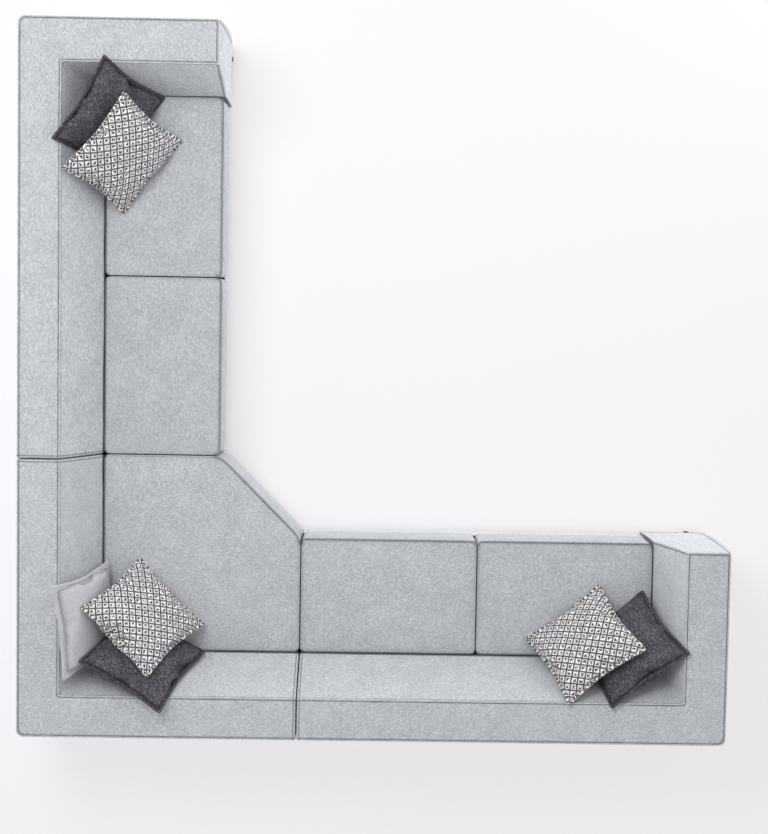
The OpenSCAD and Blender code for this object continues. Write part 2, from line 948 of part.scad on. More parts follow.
left_section() end_base_frame();  // left_base_frame
left_section() end_back_frame();  // left_back_frame
left_section() end_arm_frame();  // left_arm_frame
left_section() end_boards();  // left_boards
left_section() end_webbing();  // left_webbing
left_section() end_deck_cloth();  // left_deck_cloth
left_section() end_back_foam();  // left_back_foam
left_section() end_arm_foam();  // left_arm_foam
left_section() end_back_cover();  // left_back_cover
left_section() end_arm_cover();  // left_arm_cover
left_section() end_base_cover();  // left_base_cover
left_section() end_dust_cover();  // left_dust_cover
left_section() end_feet_set();  // left_feet
left_section() end_foot_screws();  // left_foot_screws
left_section() end_connector_pins();  // left_connector_pins
left_section() end_seat_cover(0);  // left_inner_seat_cover
left_section() end_seat_core(0);  // left_inner_seat_core
left_section() end_seat_cover(1);  // left_arm_seat_cover
left_section() end_seat_core(1);  // left_arm_seat_core

right_section() right_charcoal_cushion();
right_section() right_patterned_cushion();
left_section() left_charcoal_cushion();
left_section() left_patterned_cushion();
corner_section() corner_grey_cushion();
corner_section() corner_charcoal_cushion();
corner_section() corner_patterned_cushion();
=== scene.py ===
# Corner sofa in three sections: fabrics, cushions, seams, stage and camera
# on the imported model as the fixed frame. Lengths are in metres.
import json
import math

import bmesh
import bpy
from mathutils import Matrix, Vector, noise


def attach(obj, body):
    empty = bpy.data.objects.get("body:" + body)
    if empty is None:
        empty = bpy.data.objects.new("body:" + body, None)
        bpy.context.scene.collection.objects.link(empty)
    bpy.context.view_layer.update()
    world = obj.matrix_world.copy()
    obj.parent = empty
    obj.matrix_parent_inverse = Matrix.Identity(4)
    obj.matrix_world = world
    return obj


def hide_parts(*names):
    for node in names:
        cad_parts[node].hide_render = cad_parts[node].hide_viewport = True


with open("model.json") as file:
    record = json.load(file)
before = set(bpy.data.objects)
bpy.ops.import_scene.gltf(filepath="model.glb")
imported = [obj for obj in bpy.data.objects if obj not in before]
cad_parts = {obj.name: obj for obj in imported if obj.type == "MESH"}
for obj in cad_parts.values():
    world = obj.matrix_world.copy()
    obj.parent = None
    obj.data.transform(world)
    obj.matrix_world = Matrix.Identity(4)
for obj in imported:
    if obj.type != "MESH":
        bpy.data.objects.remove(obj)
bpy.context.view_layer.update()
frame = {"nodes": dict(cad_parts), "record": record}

bl_info = {
    "name": "Corner Sofa",
    "version": (1, 0, 0),
    "blender": (4, 5, 0),
    "location": "3D View > Sidebar > Sofa",
    "description": "Upholstery, cushions, finishes and stage of a corner sofa in sections",
    "category": "Object",
}

SIDES = ("right", "left")
SEATS = ("inner", "arm")
MM = 0.001

# Half of the outline's side, and how far the joints lie from its middle
HALF = 1.555
JOINT_AT = 0.335


def right_place(u, v, z):
    """A point of the right section: u along its back from the joint, v in from the back."""
    return Vector((u - JOINT_AT, HALF - v, z))


def left_place(u, v, z):
    """The same point of the left section, mirrored across the sofa's diagonal."""
    return Vector((v - HALF, JOINT_AT - u, z))


def corner_place(u, v, z):
    """A point of the corner section: u from the right joint to the corner, v in from the back."""
    return Vector((-JOINT_AT - u, HALF - v, z))


PLACES = {"right": right_place, "left": left_place, "corner": corner_place}


# ---------------------------------------------------------------- properties

def length(name, text, value):
    return bpy.props.FloatProperty(name=name, description=text, default=value, min=0.0,
                                   unit="LENGTH", precision=4)


def colour(name, text, value):
    return bpy.props.FloatVectorProperty(name=name, description=text, default=srgb(value),
                                         size=3, min=0.0, max=1.0, subtype="COLOR")


def srgb(text):
    """An sRGB hex colour as linear red, green and blue."""
    parts = [int(text[i:i + 2], 16) / 255 for i in (1, 3, 5)]
    return [c / 12.92 if c <= 0.04045 else ((c + 0.055) / 1.055) ** 2.4 for c in parts]


class SofaSizes(bpy.types.PropertyGroup):
    seat_width: length("Seat width", "Width of one seat of an end section", 0.8)
    corner_width: length("Corner width", "Outer length of the corner section", 1.22)
    depth: length("Depth", "Depth of a section", 0.85)
    height: length("Height", "Height of the backs and arms", 0.7)
    seat_height: length("Seat height", "Height of the seats' tops", 0.42)
    back_top: length("Back top", "Thickness of a back across its top", 0.18)
    back_low: length("Back foot", "Thickness of a back at seat level", 0.325)
    arm_top: length("Arm top", "Thickness of an arm across its top", 0.185)
    arm_low: length("Arm foot", "Thickness of an arm at seat level", 0.29)
    foot_height: length("Foot height", "Height of the feet", 0.035)
    deck_height: length("Deck height", "Height of the cloth under the seats", 0.172)
    section_gap: length("Section gap", "Gap between two sections", 0.004)
    front_set: length("Base setback", "Setback of the base behind the seats' front", 0.01)
    seat_gap: length("Seat gap", "Gap between two seat cushions", 0.006)
    pillow_side: length("Scatter cushion side", "Filled side, corner to corner", 0.414)
    pillow_loft: length("Scatter cushion loft", "Thickness in the middle", 0.11)
    pillow_rim: length("Scatter cushion rim", "Thickness at the sewn edge", 0.01)
    pillow_draw: length("Scatter cushion draw", "How far its sides draw in", 0.021)
    bead: length("Seam bead", "Half width of the raised seams", 0.0045)
    bead_rise: length("Seam rise", "Height of the raised seams", 0.0036)


class SofaColours(bpy.types.PropertyGroup):
    cloth: colour("Upholstery", "Middle tone of the pale melange cloth", "#c0c3c8")
    cloth_dark: colour("Upholstery, dark yarn", "Darker yarn of the pale cloth", "#a4a8b0")
    cloth_light: colour("Upholstery, light yarn", "Lighter yarn of the pale cloth", "#dddfe2")
    charcoal: colour("Charcoal", "Middle tone of the charcoal cloth", "#4c4b51")
    charcoal_fleck: colour("Charcoal flecks", "Light fibres of the charcoal cloth", "#85858d")
    charcoal_deep: colour("Charcoal, deep", "Dark yarn of the charcoal cloth", "#302f36")
    off_white: colour("Off-white", "Ground of the patterned cloth", "#fdf9fb")
    lattice: colour("Lattice", "Lattice of the patterned cloth", "#161316")
    light_grey: colour("Light grey", "Cloth of the plain scatter cushion", "#c3c4c9")


# ---------------------------------------------------------------- materials

def add(tree, kind, inputs=None, **settings):
    """Adds a node with its settings. Each input is given a value, or the output to link to it."""
    node = tree.nodes.new(kind)
    for name, value in settings.items():
        setattr(node, name, value)
    for socket, value in (inputs or {}).items():
        if isinstance(value, bpy.types.NodeSocket):
            tree.links.new(value, node.inputs[socket])
        else:
            node.inputs[socket].default_value = value
    return node


def arrange(tree):
    """Puts the nodes in columns, each as far left as its longest way to the output is."""
    width, height = 220, 260
    column = {node.name: 0 for node in tree.nodes}
    for _ in tree.nodes:
        for link in tree.links:
            source, target = link.from_node.name, link.to_node.name
            column[source] = max(column[source], column[target] + 1)
    filled = {}
    for node in tree.nodes:
        at = column[node.name]
        node.location = (-width * at, -height * filled.get(at, 0))
        filled[at] = filled.get(at, 0) + 1


def new_material(name):
    material = bpy.data.materials.new(name)
    material.use_nodes = True
    tree = material.node_tree
    tree.nodes.clear()
    return material, tree


def rgba(value):
    return (*value[:3], 1.0)


def finish_material(tree, base, height, bump, roughness, sheen=0.0, metallic=0.0):
    """Principled shader with a bump of the given depth in metres, and the output."""
    relief = add(tree, "ShaderNodeBump", {"Strength": 1.0, "Distance": bump, "Height": height})
    shader = add(tree, "ShaderNodeBsdfPrincipled", {
        "Base Color": base, "Roughness": roughness, "Metallic": metallic, "Sheen Weight": sheen,
        "Normal": relief.outputs[0]})
    if sheen:
        shader.inputs["Sheen Roughness"].default_value = 0.6
        shader.inputs["Specular IOR Level"].default_value = 0.2
    add(tree, "ShaderNodeOutputMaterial", {"Surface": shader.outputs[0]})
    arrange(tree)


def melange_cloth(name, middle, dark, light, fleck=0.0040, contrast=0.73, painted_shade_tone="#55585f",
                  sheen=0.1, threads=(1.0, 1.0), stretch=0.42):
    """Woven polyester melange: yarns of two tones twisted together give a mottled, matt face.
    The real yarns are about 1 mm; the flecks are drawn 4 mm coarse, longer along both thread
    directions, so that they show. threads gives how much those along Y and along X show."""
    material, tree = new_material(name)
    place = add(tree, "ShaderNodeTexCoord").outputs["Object"]
    yarns = []
    for scale, share in zip(((1.0, stretch, 1.0), (stretch, 1.0, stretch)), threads):
        drawn = add(tree, "ShaderNodeMapping", {"Vector": place, "Scale": scale})
        flecks = add(tree, "ShaderNodeTexNoise", {
            "Vector": drawn.outputs[0], "Scale": 1 / fleck, "Detail": 3.0, "Roughness": 0.65})
        yarns.append(add(tree, "ShaderNodeMath", {0: flecks.outputs["Fac"], 1: share},
                         operation="MULTIPLY").outputs[0])
    broad = add(tree, "ShaderNodeTexNoise", {"Vector": place, "Scale": 1 / (fleck * 3)})
    broad = add(tree, "ShaderNodeMath", {0: broad.outputs["Fac"], 1: 0.4}, operation="MULTIPLY")
    # The dyed tone drifts a little over a hand's breadth, 90 mm
    drift = add(tree, "ShaderNodeTexNoise", {"Vector": place, "Scale": 1 / 0.09, "Detail": 1.0})
    drift = add(tree, "ShaderNodeMapRange", {
        "Value": drift.outputs["Fac"], "To Min": -0.11, "To Max": 0.11})
    both = yarns[0]
    for part in (yarns[1], broad.outputs[0], drift.outputs[0]):
        both = add(tree, "ShaderNodeMath", {0: both, 1: part}, operation="ADD").outputs[0]
    # The sum's middle is 1.2: the dark yarns show above it and the light ones below
    to_dark = add(tree, "ShaderNodeMapRange", {
        "Value": both, "From Min": 1.21, "From Max": 1.42, "To Max": contrast})
    to_light = add(tree, "ShaderNodeMapRange", {
        "Value": both, "From Min": 1.19, "From Max": 0.98, "To Max": contrast})
    # Painted shade: where the mesh's 'seam' attribute is high, the cloth is mixed towards the dark
    # shade tone, in seam grooves, crevices, joints and on the seats' fronts
    seam = add(tree, "ShaderNodeAttribute", attribute_name="seam")
    tone = rgba(middle)
    for share, other in ((to_dark.outputs[0], dark), (to_light.outputs[0], light),
                         (seam.outputs["Fac"], srgb(painted_shade_tone))):
        tone = add(tree, "ShaderNodeMix", {0: share, 6: tone, 7: rgba(other)},
                   data_type="RGBA", clamp_factor=True).outputs[2]
    finish_material(tree, tone, both, 0.0008, 0.92, sheen)
    return material


def lattice_cloth(name, ground, dark):
    """Flat-woven cotton with a small traditional lattice: charcoal lines every 30 mm along the
    cushion's diagonals, and a charcoal spot in each off-white cell. The edges waver by under
    a millimetre, as woven yarns make them."""
    pitch, line, spot = 0.0300, 0.0039, 0.0076
    material, tree = new_material(name)
    uv = add(tree, "ShaderNodeUVMap", uv_map="Cloth").outputs[0]
    waver = add(tree, "ShaderNodeTexNoise", {"Vector": uv, "Scale": 1 / 0.006})
    shift = add(tree, "ShaderNodeVectorMath", {0: waver.outputs["Color"], 1: (0.5, 0.5, 0.5)},
                operation="SUBTRACT")
    shift = add(tree, "ShaderNodeVectorMath", {0: shift.outputs[0], "Scale": 0.0035},
                operation="SCALE")
    moved = add(tree, "ShaderNodeVectorMath", {0: uv, 1: shift.outputs[0]}, operation="ADD")
    turned = add(tree, "ShaderNodeMapping", {
        "Vector": moved.outputs[0], "Rotation": (0.0, 0.0, math.radians(45)),
        "Scale": (1 / pitch, 1 / pitch, 1.0)}).outputs[0]
    cell = add(tree, "ShaderNodeVectorMath", {0: turned}, operation="FRACTION")
    parts = add(tree, "ShaderNodeSeparateXYZ", {0: cell.outputs[0]})
    offs, sizes = [], []
    for i in (0, 1):
        off = add(tree, "ShaderNodeMath", {0: parts.outputs[i], 1: 0.5}, operation="SUBTRACT")
        size = add(tree, "ShaderNodeMath", {0: off.outputs[0]}, operation="ABSOLUTE")
        offs.append(off.outputs[0])
        sizes.append(size.outputs[0])
    far = add(tree, "ShaderNodeMath", {0: sizes[0], 1: sizes[1]}, operation="MAXIMUM").outputs[0]
    soft = 0.03
    edge = 0.5 - line / pitch
    lines = add(tree, "ShaderNodeMapRange", {
        "Value": far, "From Min": edge - soft, "From Max": edge + soft})
    dot = add(tree, "ShaderNodeMapRange", {
        "Value": far, "From Min": spot / pitch + soft, "From Max": spot / pitch - soft})
    # Each spot is cut across one of the cell's diagonals, and some frames are woven lighter
    number = add(tree, "ShaderNodeVectorMath", {0: turned}, operation="FLOOR")
    dice = add(tree, "ShaderNodeTexWhiteNoise", {"Vector": number.outputs[0]},
               noise_dimensions="3D")
    dice = add(tree, "ShaderNodeSeparateColor", {0: dice.outputs["Color"]})
    halves = []
    for i in (0, 1):
        side = add(tree, "ShaderNodeMath", {0: dice.outputs[i], 1: 0.5},
                   operation="GREATER_THAN")
        side = add(tree, "ShaderNodeMapRange", {
            "Value": side.outputs[0], "To Min": -1.0, "To Max": 1.0})
        halves.append(add(tree, "ShaderNodeMath", {0: offs[i], 1: side.outputs[0]},
                          operation="MULTIPLY").outputs[0])
    across = add(tree, "ShaderNodeMath", {0: halves[0], 1: halves[1]}, operation="ADD")
    half = add(tree, "ShaderNodeMapRange", {
        "Value": across.outputs[0], "From Min": -0.12, "From Max": -0.02})
    dot = add(tree, "ShaderNodeMath", {0: dot.outputs[0], 1: half.outputs[0]},
              operation="MULTIPLY")
    paler = add(tree, "ShaderNodeMapRange", {"Value": dice.outputs[2], "To Min": 0.86})
    lines = add(tree, "ShaderNodeMath", {0: lines.outputs[0], 1: paler.outputs[0]},
                operation="MULTIPLY")
    ink = add(tree, "ShaderNodeMath", {0: lines.outputs[0], 1: dot.outputs[0]},
              operation="MAXIMUM")
    grain = add(tree, "ShaderNodeTexNoise", {
        "Vector": uv, "Scale": 1 / 0.0022, "Roughness": 0.6}).outputs["Fac"]
    dyed = add(tree, "ShaderNodeMapRange", {
        "Value": grain, "From Min": 0.3, "From Max": 0.6, "To Min": 0.88})
    ink = add(tree, "ShaderNodeMath", {0: ink.outputs[0], 1: dyed.outputs[0]},
              operation="MULTIPLY").outputs[0]
    tone = add(tree, "ShaderNodeMix", {0: ink, 6: rgba(ground), 7: rgba(dark)},
               data_type="RGBA")
    height = add(tree, "ShaderNodeMath", {0: grain, 1: ink}, operation="ADD")
    finish_material(tree, tone.outputs[2], height.outputs[0], 0.0007, 0.9, sheen=0.08)
    return material


def wood(name, light, dark, ring=0.012):
    """Sawn, unfinished softwood or plywood: growth rings a few millimetres apart run along the
    board and give soft darker bands."""
    material, tree = new_material(name)
    place = add(tree, "ShaderNodeTexCoord").outputs["Object"]
    drawn = add(tree, "ShaderNodeMapping", {"Vector": place, "Scale": (0.12, 1.0, 1.0)})
    rings = add(tree, "ShaderNodeTexNoise", {
        "Vector": drawn.outputs[0], "Scale": 1 / ring, "Detail": 4.0, "Roughness": 0.6,
        "Distortion": 1.5})
    fibre = add(tree, "ShaderNodeTexNoise", {"Vector": drawn.outputs[0], "Scale": 8 / ring})
    band = add(tree, "ShaderNodeMapRange", {
        "Value": rings.outputs["Fac"], "From Min": 0.35, "From Max": 0.65})
    tone = add(tree, "ShaderNodeMix", {
        0: band.outputs[0], 6: rgba(srgb(light)), 7: rgba(srgb(dark))}, data_type="RGBA")
    finish_material(tree, tone.outputs[2], fibre.outputs["Fac"], 0.0004, 0.7)
    return material


def plain_surface(name, tone_hex, second_hex, lump, bump, roughness, metallic=0.0, sheen=0.0):
    """A surface of one tone with fine mottling: moulded plastic, zinc plate, foam or felt."""
    material, tree = new_material(name)
    place = add(tree, "ShaderNodeTexCoord").outputs["Object"]
    grain = add(tree, "ShaderNodeTexNoise", {
        "Vector": place, "Scale": 1 / lump, "Detail": 3.0, "Roughness": 0.6}).outputs["Fac"]
    share = add(tree, "ShaderNodeMapRange", {
        "Value": grain, "From Min": 0.35, "From Max": 0.65})
    tone = add(tree, "ShaderNodeMix", {
        0: share.outputs[0], 6: rgba(srgb(tone_hex)), 7: rgba(srgb(second_hex))},
        data_type="RGBA")
    finish_material(tree, tone.outputs[2], grain, bump, roughness, sheen, metallic)
    return material


# ---------------------------------------------------------------- mesh helpers

def deselect():
    if bpy.context.mode != "OBJECT":
        bpy.ops.object.mode_set(mode="OBJECT")
    bpy.ops.object.select_all(action="DESELECT")


def activate(piece):
    deselect()
    piece.select_set(True)
    bpy.context.view_layer.objects.active = piece


def new_piece(name, bm, material, smooth_angle=60):
    """A smooth object from a bmesh, which it frees."""
    mesh = bpy.data.meshes.new(name)
    bm.to_mesh(mesh)
    bm.free()
    piece = bpy.data.objects.new(name, mesh)
    bpy.context.scene.collection.objects.link(piece)
    mesh.materials.append(material)
    activate(piece)
    bpy.ops.object.shade_smooth_by_angle(angle=math.radians(smooth_angle))
    return piece


def duplicate(form):
    """A copy of a piece, with a mesh of its own."""
    piece = form.copy()
    piece.data = form.data.copy()
    bpy.context.scene.collection.objects.link(piece)
    return piece


def bell(distance, width):
    """A smooth bump: 1 at distance 0, and almost nothing beyond twice the width."""
    return math.exp(-(distance / width) ** 2)


def bead_height(distance, sizes):
    """Cross-section of a raised seam: a round bead with a narrow groove on each side."""
    groove_at, groove_width, groove_depth = 0.0014, 0.0016, 0.0016
    d = abs(distance)
    if d < sizes.bead:
        return sizes.bead_rise * math.sqrt(1 - (d / sizes.bead) ** 2)
    return -groove_depth * bell(d - sizes.bead - groove_at, groove_width)


def seam_shade(distance, sizes):
    """How far the stitched groove beside a seam is in shade, 0 to 1."""
    return bell(abs(distance) - sizes.bead - 0.0012, 0.0021)


def ripple(point, size, seed=0.0):
    return noise.noise(Vector((point[0] / size + seed, point[1] / size, point[2] / size)))


def swell_share(share, power=0.7):
    """How far a panel between two seams swells at a share of its width, 0 to 1."""
    return (4 * share * (1 - share)) ** power if 0 < share < 1 else 0.0


# Distances from a seam at which a panel gets rows of points
NEAR_SEAM = (0.0, 0.0012, 0.0024, 0.0035, 0.0045, 0.0056, 0.0068, 0.0085, 0.012, 0.018, 0.027)


class Row:
    """One row of a wall's cross-section: its distance v from the outer face, its height z, the
    outward direction, its distance from the nearest seam, and how far its panel swells."""

    def __init__(self, v, z, normal, seam, swell):
        self.v, self.z, self.normal, self.seam, self.swell = v, z, normal, seam, swell


def join_rings(bm, rings):
    """Faces between each two neighbours of closed rings that have as many points each."""
    count = len(rings[0])
    for first, second in zip(rings, rings[1:]):
        for i in range(count):
            j = (i + 1) % count
            bm.faces.new((first[i], first[j], second[j], second[i]))


def wall_rows(top_w, low_w, low_in, sizes):
    """The rows of a back or arm, from the outer face's bottom over the top and down inside."""
    a, b = Vector((0.0, sizes.foot_height)), Vector((0.0, sizes.height))
    c, d = Vector((top_w, sizes.height)), Vector((low_w, sizes.seat_height))
    e = Vector((low_w, low_in))
    rows = []

    def panel(start, end, first, last, count, swell):
        """first and last tell whether a seam lies at that end of the panel."""
        span = (end - start).length
        run = (end - start) / span
        normal = Vector((-run.y, run.x))
        near = NEAR_SEAM if first else (0.0, 0.006, 0.016)
        far = NEAR_SEAM if last else (0.0, 0.01, 0.025)
        inner = [near[-1] + (span - near[-1] - far[-1]) * i / (count + 1)
                 for i in range(1, count + 1)]
        for dist in list(near) + inner + [span - f for f in reversed(far)][:-1]:
            seams = [x for x, on in ((dist, first), (span - dist, last)) if on]
            share = dist / span
            rows.append(Row(*(start + run * dist), normal.copy(),
                            min(seams) if seams else 1.0, swell * swell_share(share)))

    outside_swell, top_swell, slope_swell = 0.008, 0.004, 0.006
    panel(a, b, False, True, 8, outside_swell)
    panel(b, c, True, True, 8, top_swell)
    panel(c, d, True, False, 11, slope_swell)
    panel(d, e, False, False, 2, 0.0)
    panel(e, a, False, False, 1, 0.0)
    # At a seam both panels meet: the bead stands out along the direction between them, and the
    # rows beside it turn back to their own panel's. Later seams see what earlier ones turned
    reach = 4
    for i, row in enumerate(rows):
        before = rows[i - 1].normal
        if (row.normal - before).length > 0.3:
            for k in range(-reach, reach + 1):
                other = rows[(i + k) % len(rows)]
                weight = 1 - abs(k) / (reach + 0.5)
                side = before if k >= 0 else row.normal
                other.normal = (other.normal + side * weight * 0.5).normalized()
    return rows


def wall_shell(place, sizes, end, depth, back, arm, name, front_piped):
    """The upholstery of a back that turns a corner into an arm or a second back, as one closed
    shell: the back's rows run from the joint to the corner, then along the arm to its front."""
    u0 = sizes.section_gap / 2
    count = len(back)
    bm = bmesh.new()
    # The 'seam' layer holds painted shade, 0 to 1, which the cloth's material mixes in
    painted_shade_layer = bm.verts.layers.float.new("seam")
    round_end = (0.0, 0.0008, 0.0022, 0.0045, 0.0065, 0.0085, 0.0098, 0.011, 0.0122, 0.0135,
                 0.016)
    radius = 0.009
    spacing = 0.015
    # Points well inside the cross-sections, towards which their ends are drawn in
    middle_back = Vector((0.14, 0.42))
    middle_arm = Vector((0.14, 0.38))

    def corner_radius(row):
        """The outer corner is sharp over the board's edge and softens up to the top."""
        if row.v < 0.004:
            return 0.008 + 0.018 * min(1.0, max(0.0, (row.z - sizes.height + 0.025) / 0.022))
        return 0.026 - 0.012 * min(1.0, row.v / 0.05)

    def ring_point(row, position, normal3, seam, dim=0.0):
        """One point with its bead, swell and small unevenness, in the section's u, v, z."""
        lift = bead_height(seam, sizes) + row.swell
        calm = min(1.0, seam / 0.02)
        base = place(*position)
        outer = 0.3 if row.v < 0.004 or position[2] < 0.06 else 1.0
        uneven = calm * outer * (0.0022 * ripple(base, 0.26) + 0.0012 * ripple(base, 0.09, 7.0))
        pucker = 0.0006 * ripple(base, 0.016, 3.0) * bell(seam, 0.016) * outer
        p = position + normal3 * (lift + uneven + pucker)
        vert = bm.verts.new(place(*p))
        # Painted shade: the inner rows below the seat's top, down in the crevice, are darkened, and
        # so are the grooves beside the seams and, through dim, the joint ends
        deep = position[2] < sizes.seat_height + 0.004 and row.normal.y > -0.5 and row.v > 0.2
        stitched = seam_shade(seam, sizes) * (0.85 + 0.3 * ripple(base, 0.05, 11.0))
        vert[painted_shade_layer] = max(stitched, 0.85 if deep else 0.0, dim)
        return vert

    def belly(z):
        """How far the filling pushes an arm's front forward, at a height."""
        share = (z - sizes.foot_height) / (sizes.height - sizes.foot_height)
        return 0.009 * swell_share(share, 0.8)

    def inset_of(distance):
        if distance >= radius:
            return 0.0
        return radius - math.sqrt(radius * radius - (radius - distance) ** 2)

    def joint_shade(distance):
        """Painted shade: the rounded ends stand against the next section and are darkened as in its
        shade, and a painted seam line follows.
        """
        if distance is None:
            return 0.0
        return max(0.6 * max(0.0, 1 - distance / 0.003), 0.85 * bell(distance - 0.011, 0.0022))

    def back_ring(distance=None, share=None):
        ring = []
        for row in back:
            corner = end - arm[len(ring)].v - corner_radius(row)
            first = round_end[-1]
            u = u0 + distance if share is None else u0 + first + (corner - u0 - first) * share
            drawn = inset_of(distance) if share is None else 0.0
            flat = Vector((row.v, row.z))
            flat += (middle_back - flat).normalized() * drawn
            ring.append(ring_point(row, Vector((u, flat.x, flat.y)),
                                   Vector((0.0, row.normal.x, row.normal.y)), row.seam,
                                   joint_shade(distance)))
        return ring

    def turn_ring(angle):
        ring = []
        for row, other in zip(back, arm):
            r = corner_radius(row)
            cu, cv = end - other.v - r, row.v + r
            u, v = cu + r * math.sin(angle), cv - r * math.cos(angle)
            n = Vector((-row.normal.x * math.sin(angle), row.normal.x * math.cos(angle),
                        row.normal.y))
            ring.append(ring_point(row, Vector((u, v, row.z)), n, row.seam))
        return ring

    def arm_ring(distance=None, share=None):
        """distance is from the arm's front or far end; share runs from the corner on."""
        ring = []
        last = NEAR_SEAM[-1] if front_piped else round_end[-1]
        for row, other in zip(back, arm):
            start = row.v + corner_radius(row)
            v = depth - distance if share is None else start + (depth - last - start) * share
            if front_piped:
                v += belly(other.z) * max(0.0, 1 - (depth - v) / 0.10)
            w = min(1.0, max(0.0, (v - 0.36) / 0.1))
            z = row.z + (other.z - row.z) * w
            normal = Vector((-other.normal.x, 0.0, other.normal.y))
            flat = Vector((other.v, z))
            seam = other.seam
            if share is None and front_piped:
                seam = min(seam, distance)
                lean = max(0.0, 1 - distance / sizes.bead)
                normal = (normal + Vector((0.0, 1.0, 0.0)) * lean).normalized()
            elif share is None:
                flat += (middle_back - flat).normalized() * inset_of(distance)
            ring.append(ring_point(other, Vector((end - flat.x, v, flat.y)), normal, seam,
                                   0.0 if front_piped else joint_shade(distance)))
        return ring

    def face_ring(inset):
        """A ring of the arm's front face, drawn in from its edge."""
        ring = []
        for other in arm:
            flat = Vector((other.v, other.z))
            reach = (middle_arm - flat).length
            flat += (middle_arm - flat) * min(1.0, inset / reach)
            lean = max(0.0, 1 - inset / sizes.bead)
            side = Vector((-other.normal.x, 0.0, other.normal.y)) * lean
            normal = (Vector((0.0, 1.0, 0.0)) + side).normalized()
            calm = Row(0.1, other.z, other.normal, 1.0, 0.004 * min(1.0, inset / 0.08))
            ring.append(ring_point(calm, Vector((end - flat.x, depth + belly(flat.y), flat.y)),
                                   normal, inset))
        return ring

    rings = [back_ring(distance=e) for e in round_end[:-1]]
    steps = round((end - u0) / spacing)
    rings += [back_ring(share=i / steps) for i in range(steps + 1)]
    rings += [turn_ring(math.radians(90) * i / 6) for i in range(1, 6)]
    steps = round(depth / spacing)
    rings += [arm_ring(share=i / steps) for i in range(steps + 1)]
    if front_piped:
        rings += [arm_ring(distance=e) for e in reversed(NEAR_SEAM[:-1])]
        rings += [face_ring(i) for i in NEAR_SEAM[1:] + (0.045, 0.075)]
    else:
        rings += [arm_ring(distance=e) for e in reversed(round_end[:-1])]
    join_rings(bm, rings)
    for ring in (rings[0], rings[-1]):
        centre = bm.verts.new(sum((v.co for v in ring), Vector()) / count)
        for i in range(count):
            bm.faces.new((ring[i], ring[(i + 1) % count], centre))
    bmesh.ops.recalc_face_normals(bm, faces=bm.faces[:])
    return new_piece(name, bm, row_cloth(name), 70)


def strip_shell(name, path, front, low, high, thick, material):
    """An upright padded band that follows a path in plan, with a stitched hem at its bottom.
    front is the stretch of the path that is open; the rest stands close to the next section."""
    hem, rounding = 0.012, 0.003
    bm = bmesh.new()
    painted_shade_layer = bm.verts.layers.float.new("seam")
    stations = []
    for a, b in zip(path, path[1:]):
        steps = max(1, round((b - a).length / 0.02))
        stations += [a + (b - a) * k / steps for k in range(steps)]
    stations.append(path[-1])
    span = high - low
    heights = [0, 0.002, 0.006, hem - 0.002, hem, hem + 0.002, hem + 0.008]
    heights += [hem + 0.008 + (span - hem - 0.018) * i / 6 for i in range(1, 6)]
    heights += [span - 0.008, span - 0.003, span - 0.0008, span]
    rings = []
    for i, at in enumerate(stations):
        before, after = stations[max(0, i - 1)], stations[min(len(stations) - 1, i + 1)]
        a = (at - before).normalized() if i else (after - at).normalized()
        b = (after - at).normalized() if i < len(stations) - 1 else a
        run = (a + b).normalized()
        mitre = 1 / max(0.5, run.dot(a))
        out = Vector((run.y, -run.x)) * mitre
        swell = 0.0
        if distance_to(at, *front) < 0.001:
            ends = min((at - end).length for end in front)
            swell = 0.009 * min(1.0, ends / 0.05) ** 0.6
        ring = []
        for h in heights:
            share = h / span
            short = max(0.0, rounding - min(h, span - h))
            drawn = rounding - math.sqrt(rounding ** 2 - short ** 2)
            groove = 0.0011 * bell(h - hem, 0.0016)
            base = Vector((*at, low + h))
            push = swell * swell_share(share) - drawn - groove
            push += 0.0008 * ripple(base, 0.12) + 0.0004 * ripple(base, 0.02, 5.0)
            p = at + out * push
            vert = bm.verts.new((p.x, p.y, low + h))
            # Painted shade: the whole band is a little darker, lying low, and darker still along
            # the hem's groove
            vert[painted_shade_layer] = max(0.12, 0.8 * bell(h - hem, 0.0022))
            ring.append(vert)
        for h in (span, 0.0):
            p = at - out * thick
            ring.append(bm.verts.new((p.x, p.y, low + h)))
        rings.append(ring)
    join_rings(bm, rings)
    bm.faces.new(rings[0])
    bm.faces.new(list(reversed(rings[-1])))
    bmesh.ops.recalc_face_normals(bm, faces=bm.faces[:])
    return new_piece(name, bm, material, 50)


def cloth_panel(name, corners, low, thick, material, sag):
    """A thin closed cloth over a flat outline, raised a little over the straps beneath it, which
    run askew and cross X and Y every pitch metres."""
    pitch, spacing = 0.112, 0.028
    bm = bmesh.new()
    verts = [bm.verts.new((x, y, low)) for x, y in corners]
    bm.faces.new(verts)
    for axis in (0, 1):
        start, end = (pick(c[axis] for c in corners) for pick in (min, max))
        steps = round((end - start) / spacing)
        for i in range(1, steps):
            at = Vector((0.0, 0.0, low))
            at[axis] = start + (end - start) * i / steps
            normal = Vector((1.0, 0.0, 0.0)) if axis == 0 else Vector((0.0, 1.0, 0.0))
            bmesh.ops.bisect_plane(bm, geom=bm.verts[:] + bm.edges[:] + bm.faces[:],
                                   plane_co=at, plane_no=normal)
    for v in bm.verts:
        if not v.is_boundary:
            strap = math.cos(2 * math.pi * (v.co.x + v.co.y) / pitch)
            v.co.z += sag * (0.4 + 0.6 * strap) + 0.4 * sag * ripple(v.co, 0.1)
    under = bmesh.ops.extrude_face_region(bm, geom=bm.faces[:])
    for v in [g for g in under["geom"] if isinstance(g, bmesh.types.BMVert)]:
        v.co.z += thick
    bmesh.ops.recalc_face_normals(bm, faces=bm.faces[:])
    return new_piece(name, bm, material, 40)


def row_cloth(name):
    """The upholstery of a piece, with the warp along its row of seats."""
    turned = "_turned" if name.startswith("right") else ""
    return bpy.data.materials["pale_melange_cloth" + turned]


# ---------------------------------------------------------------- cushions

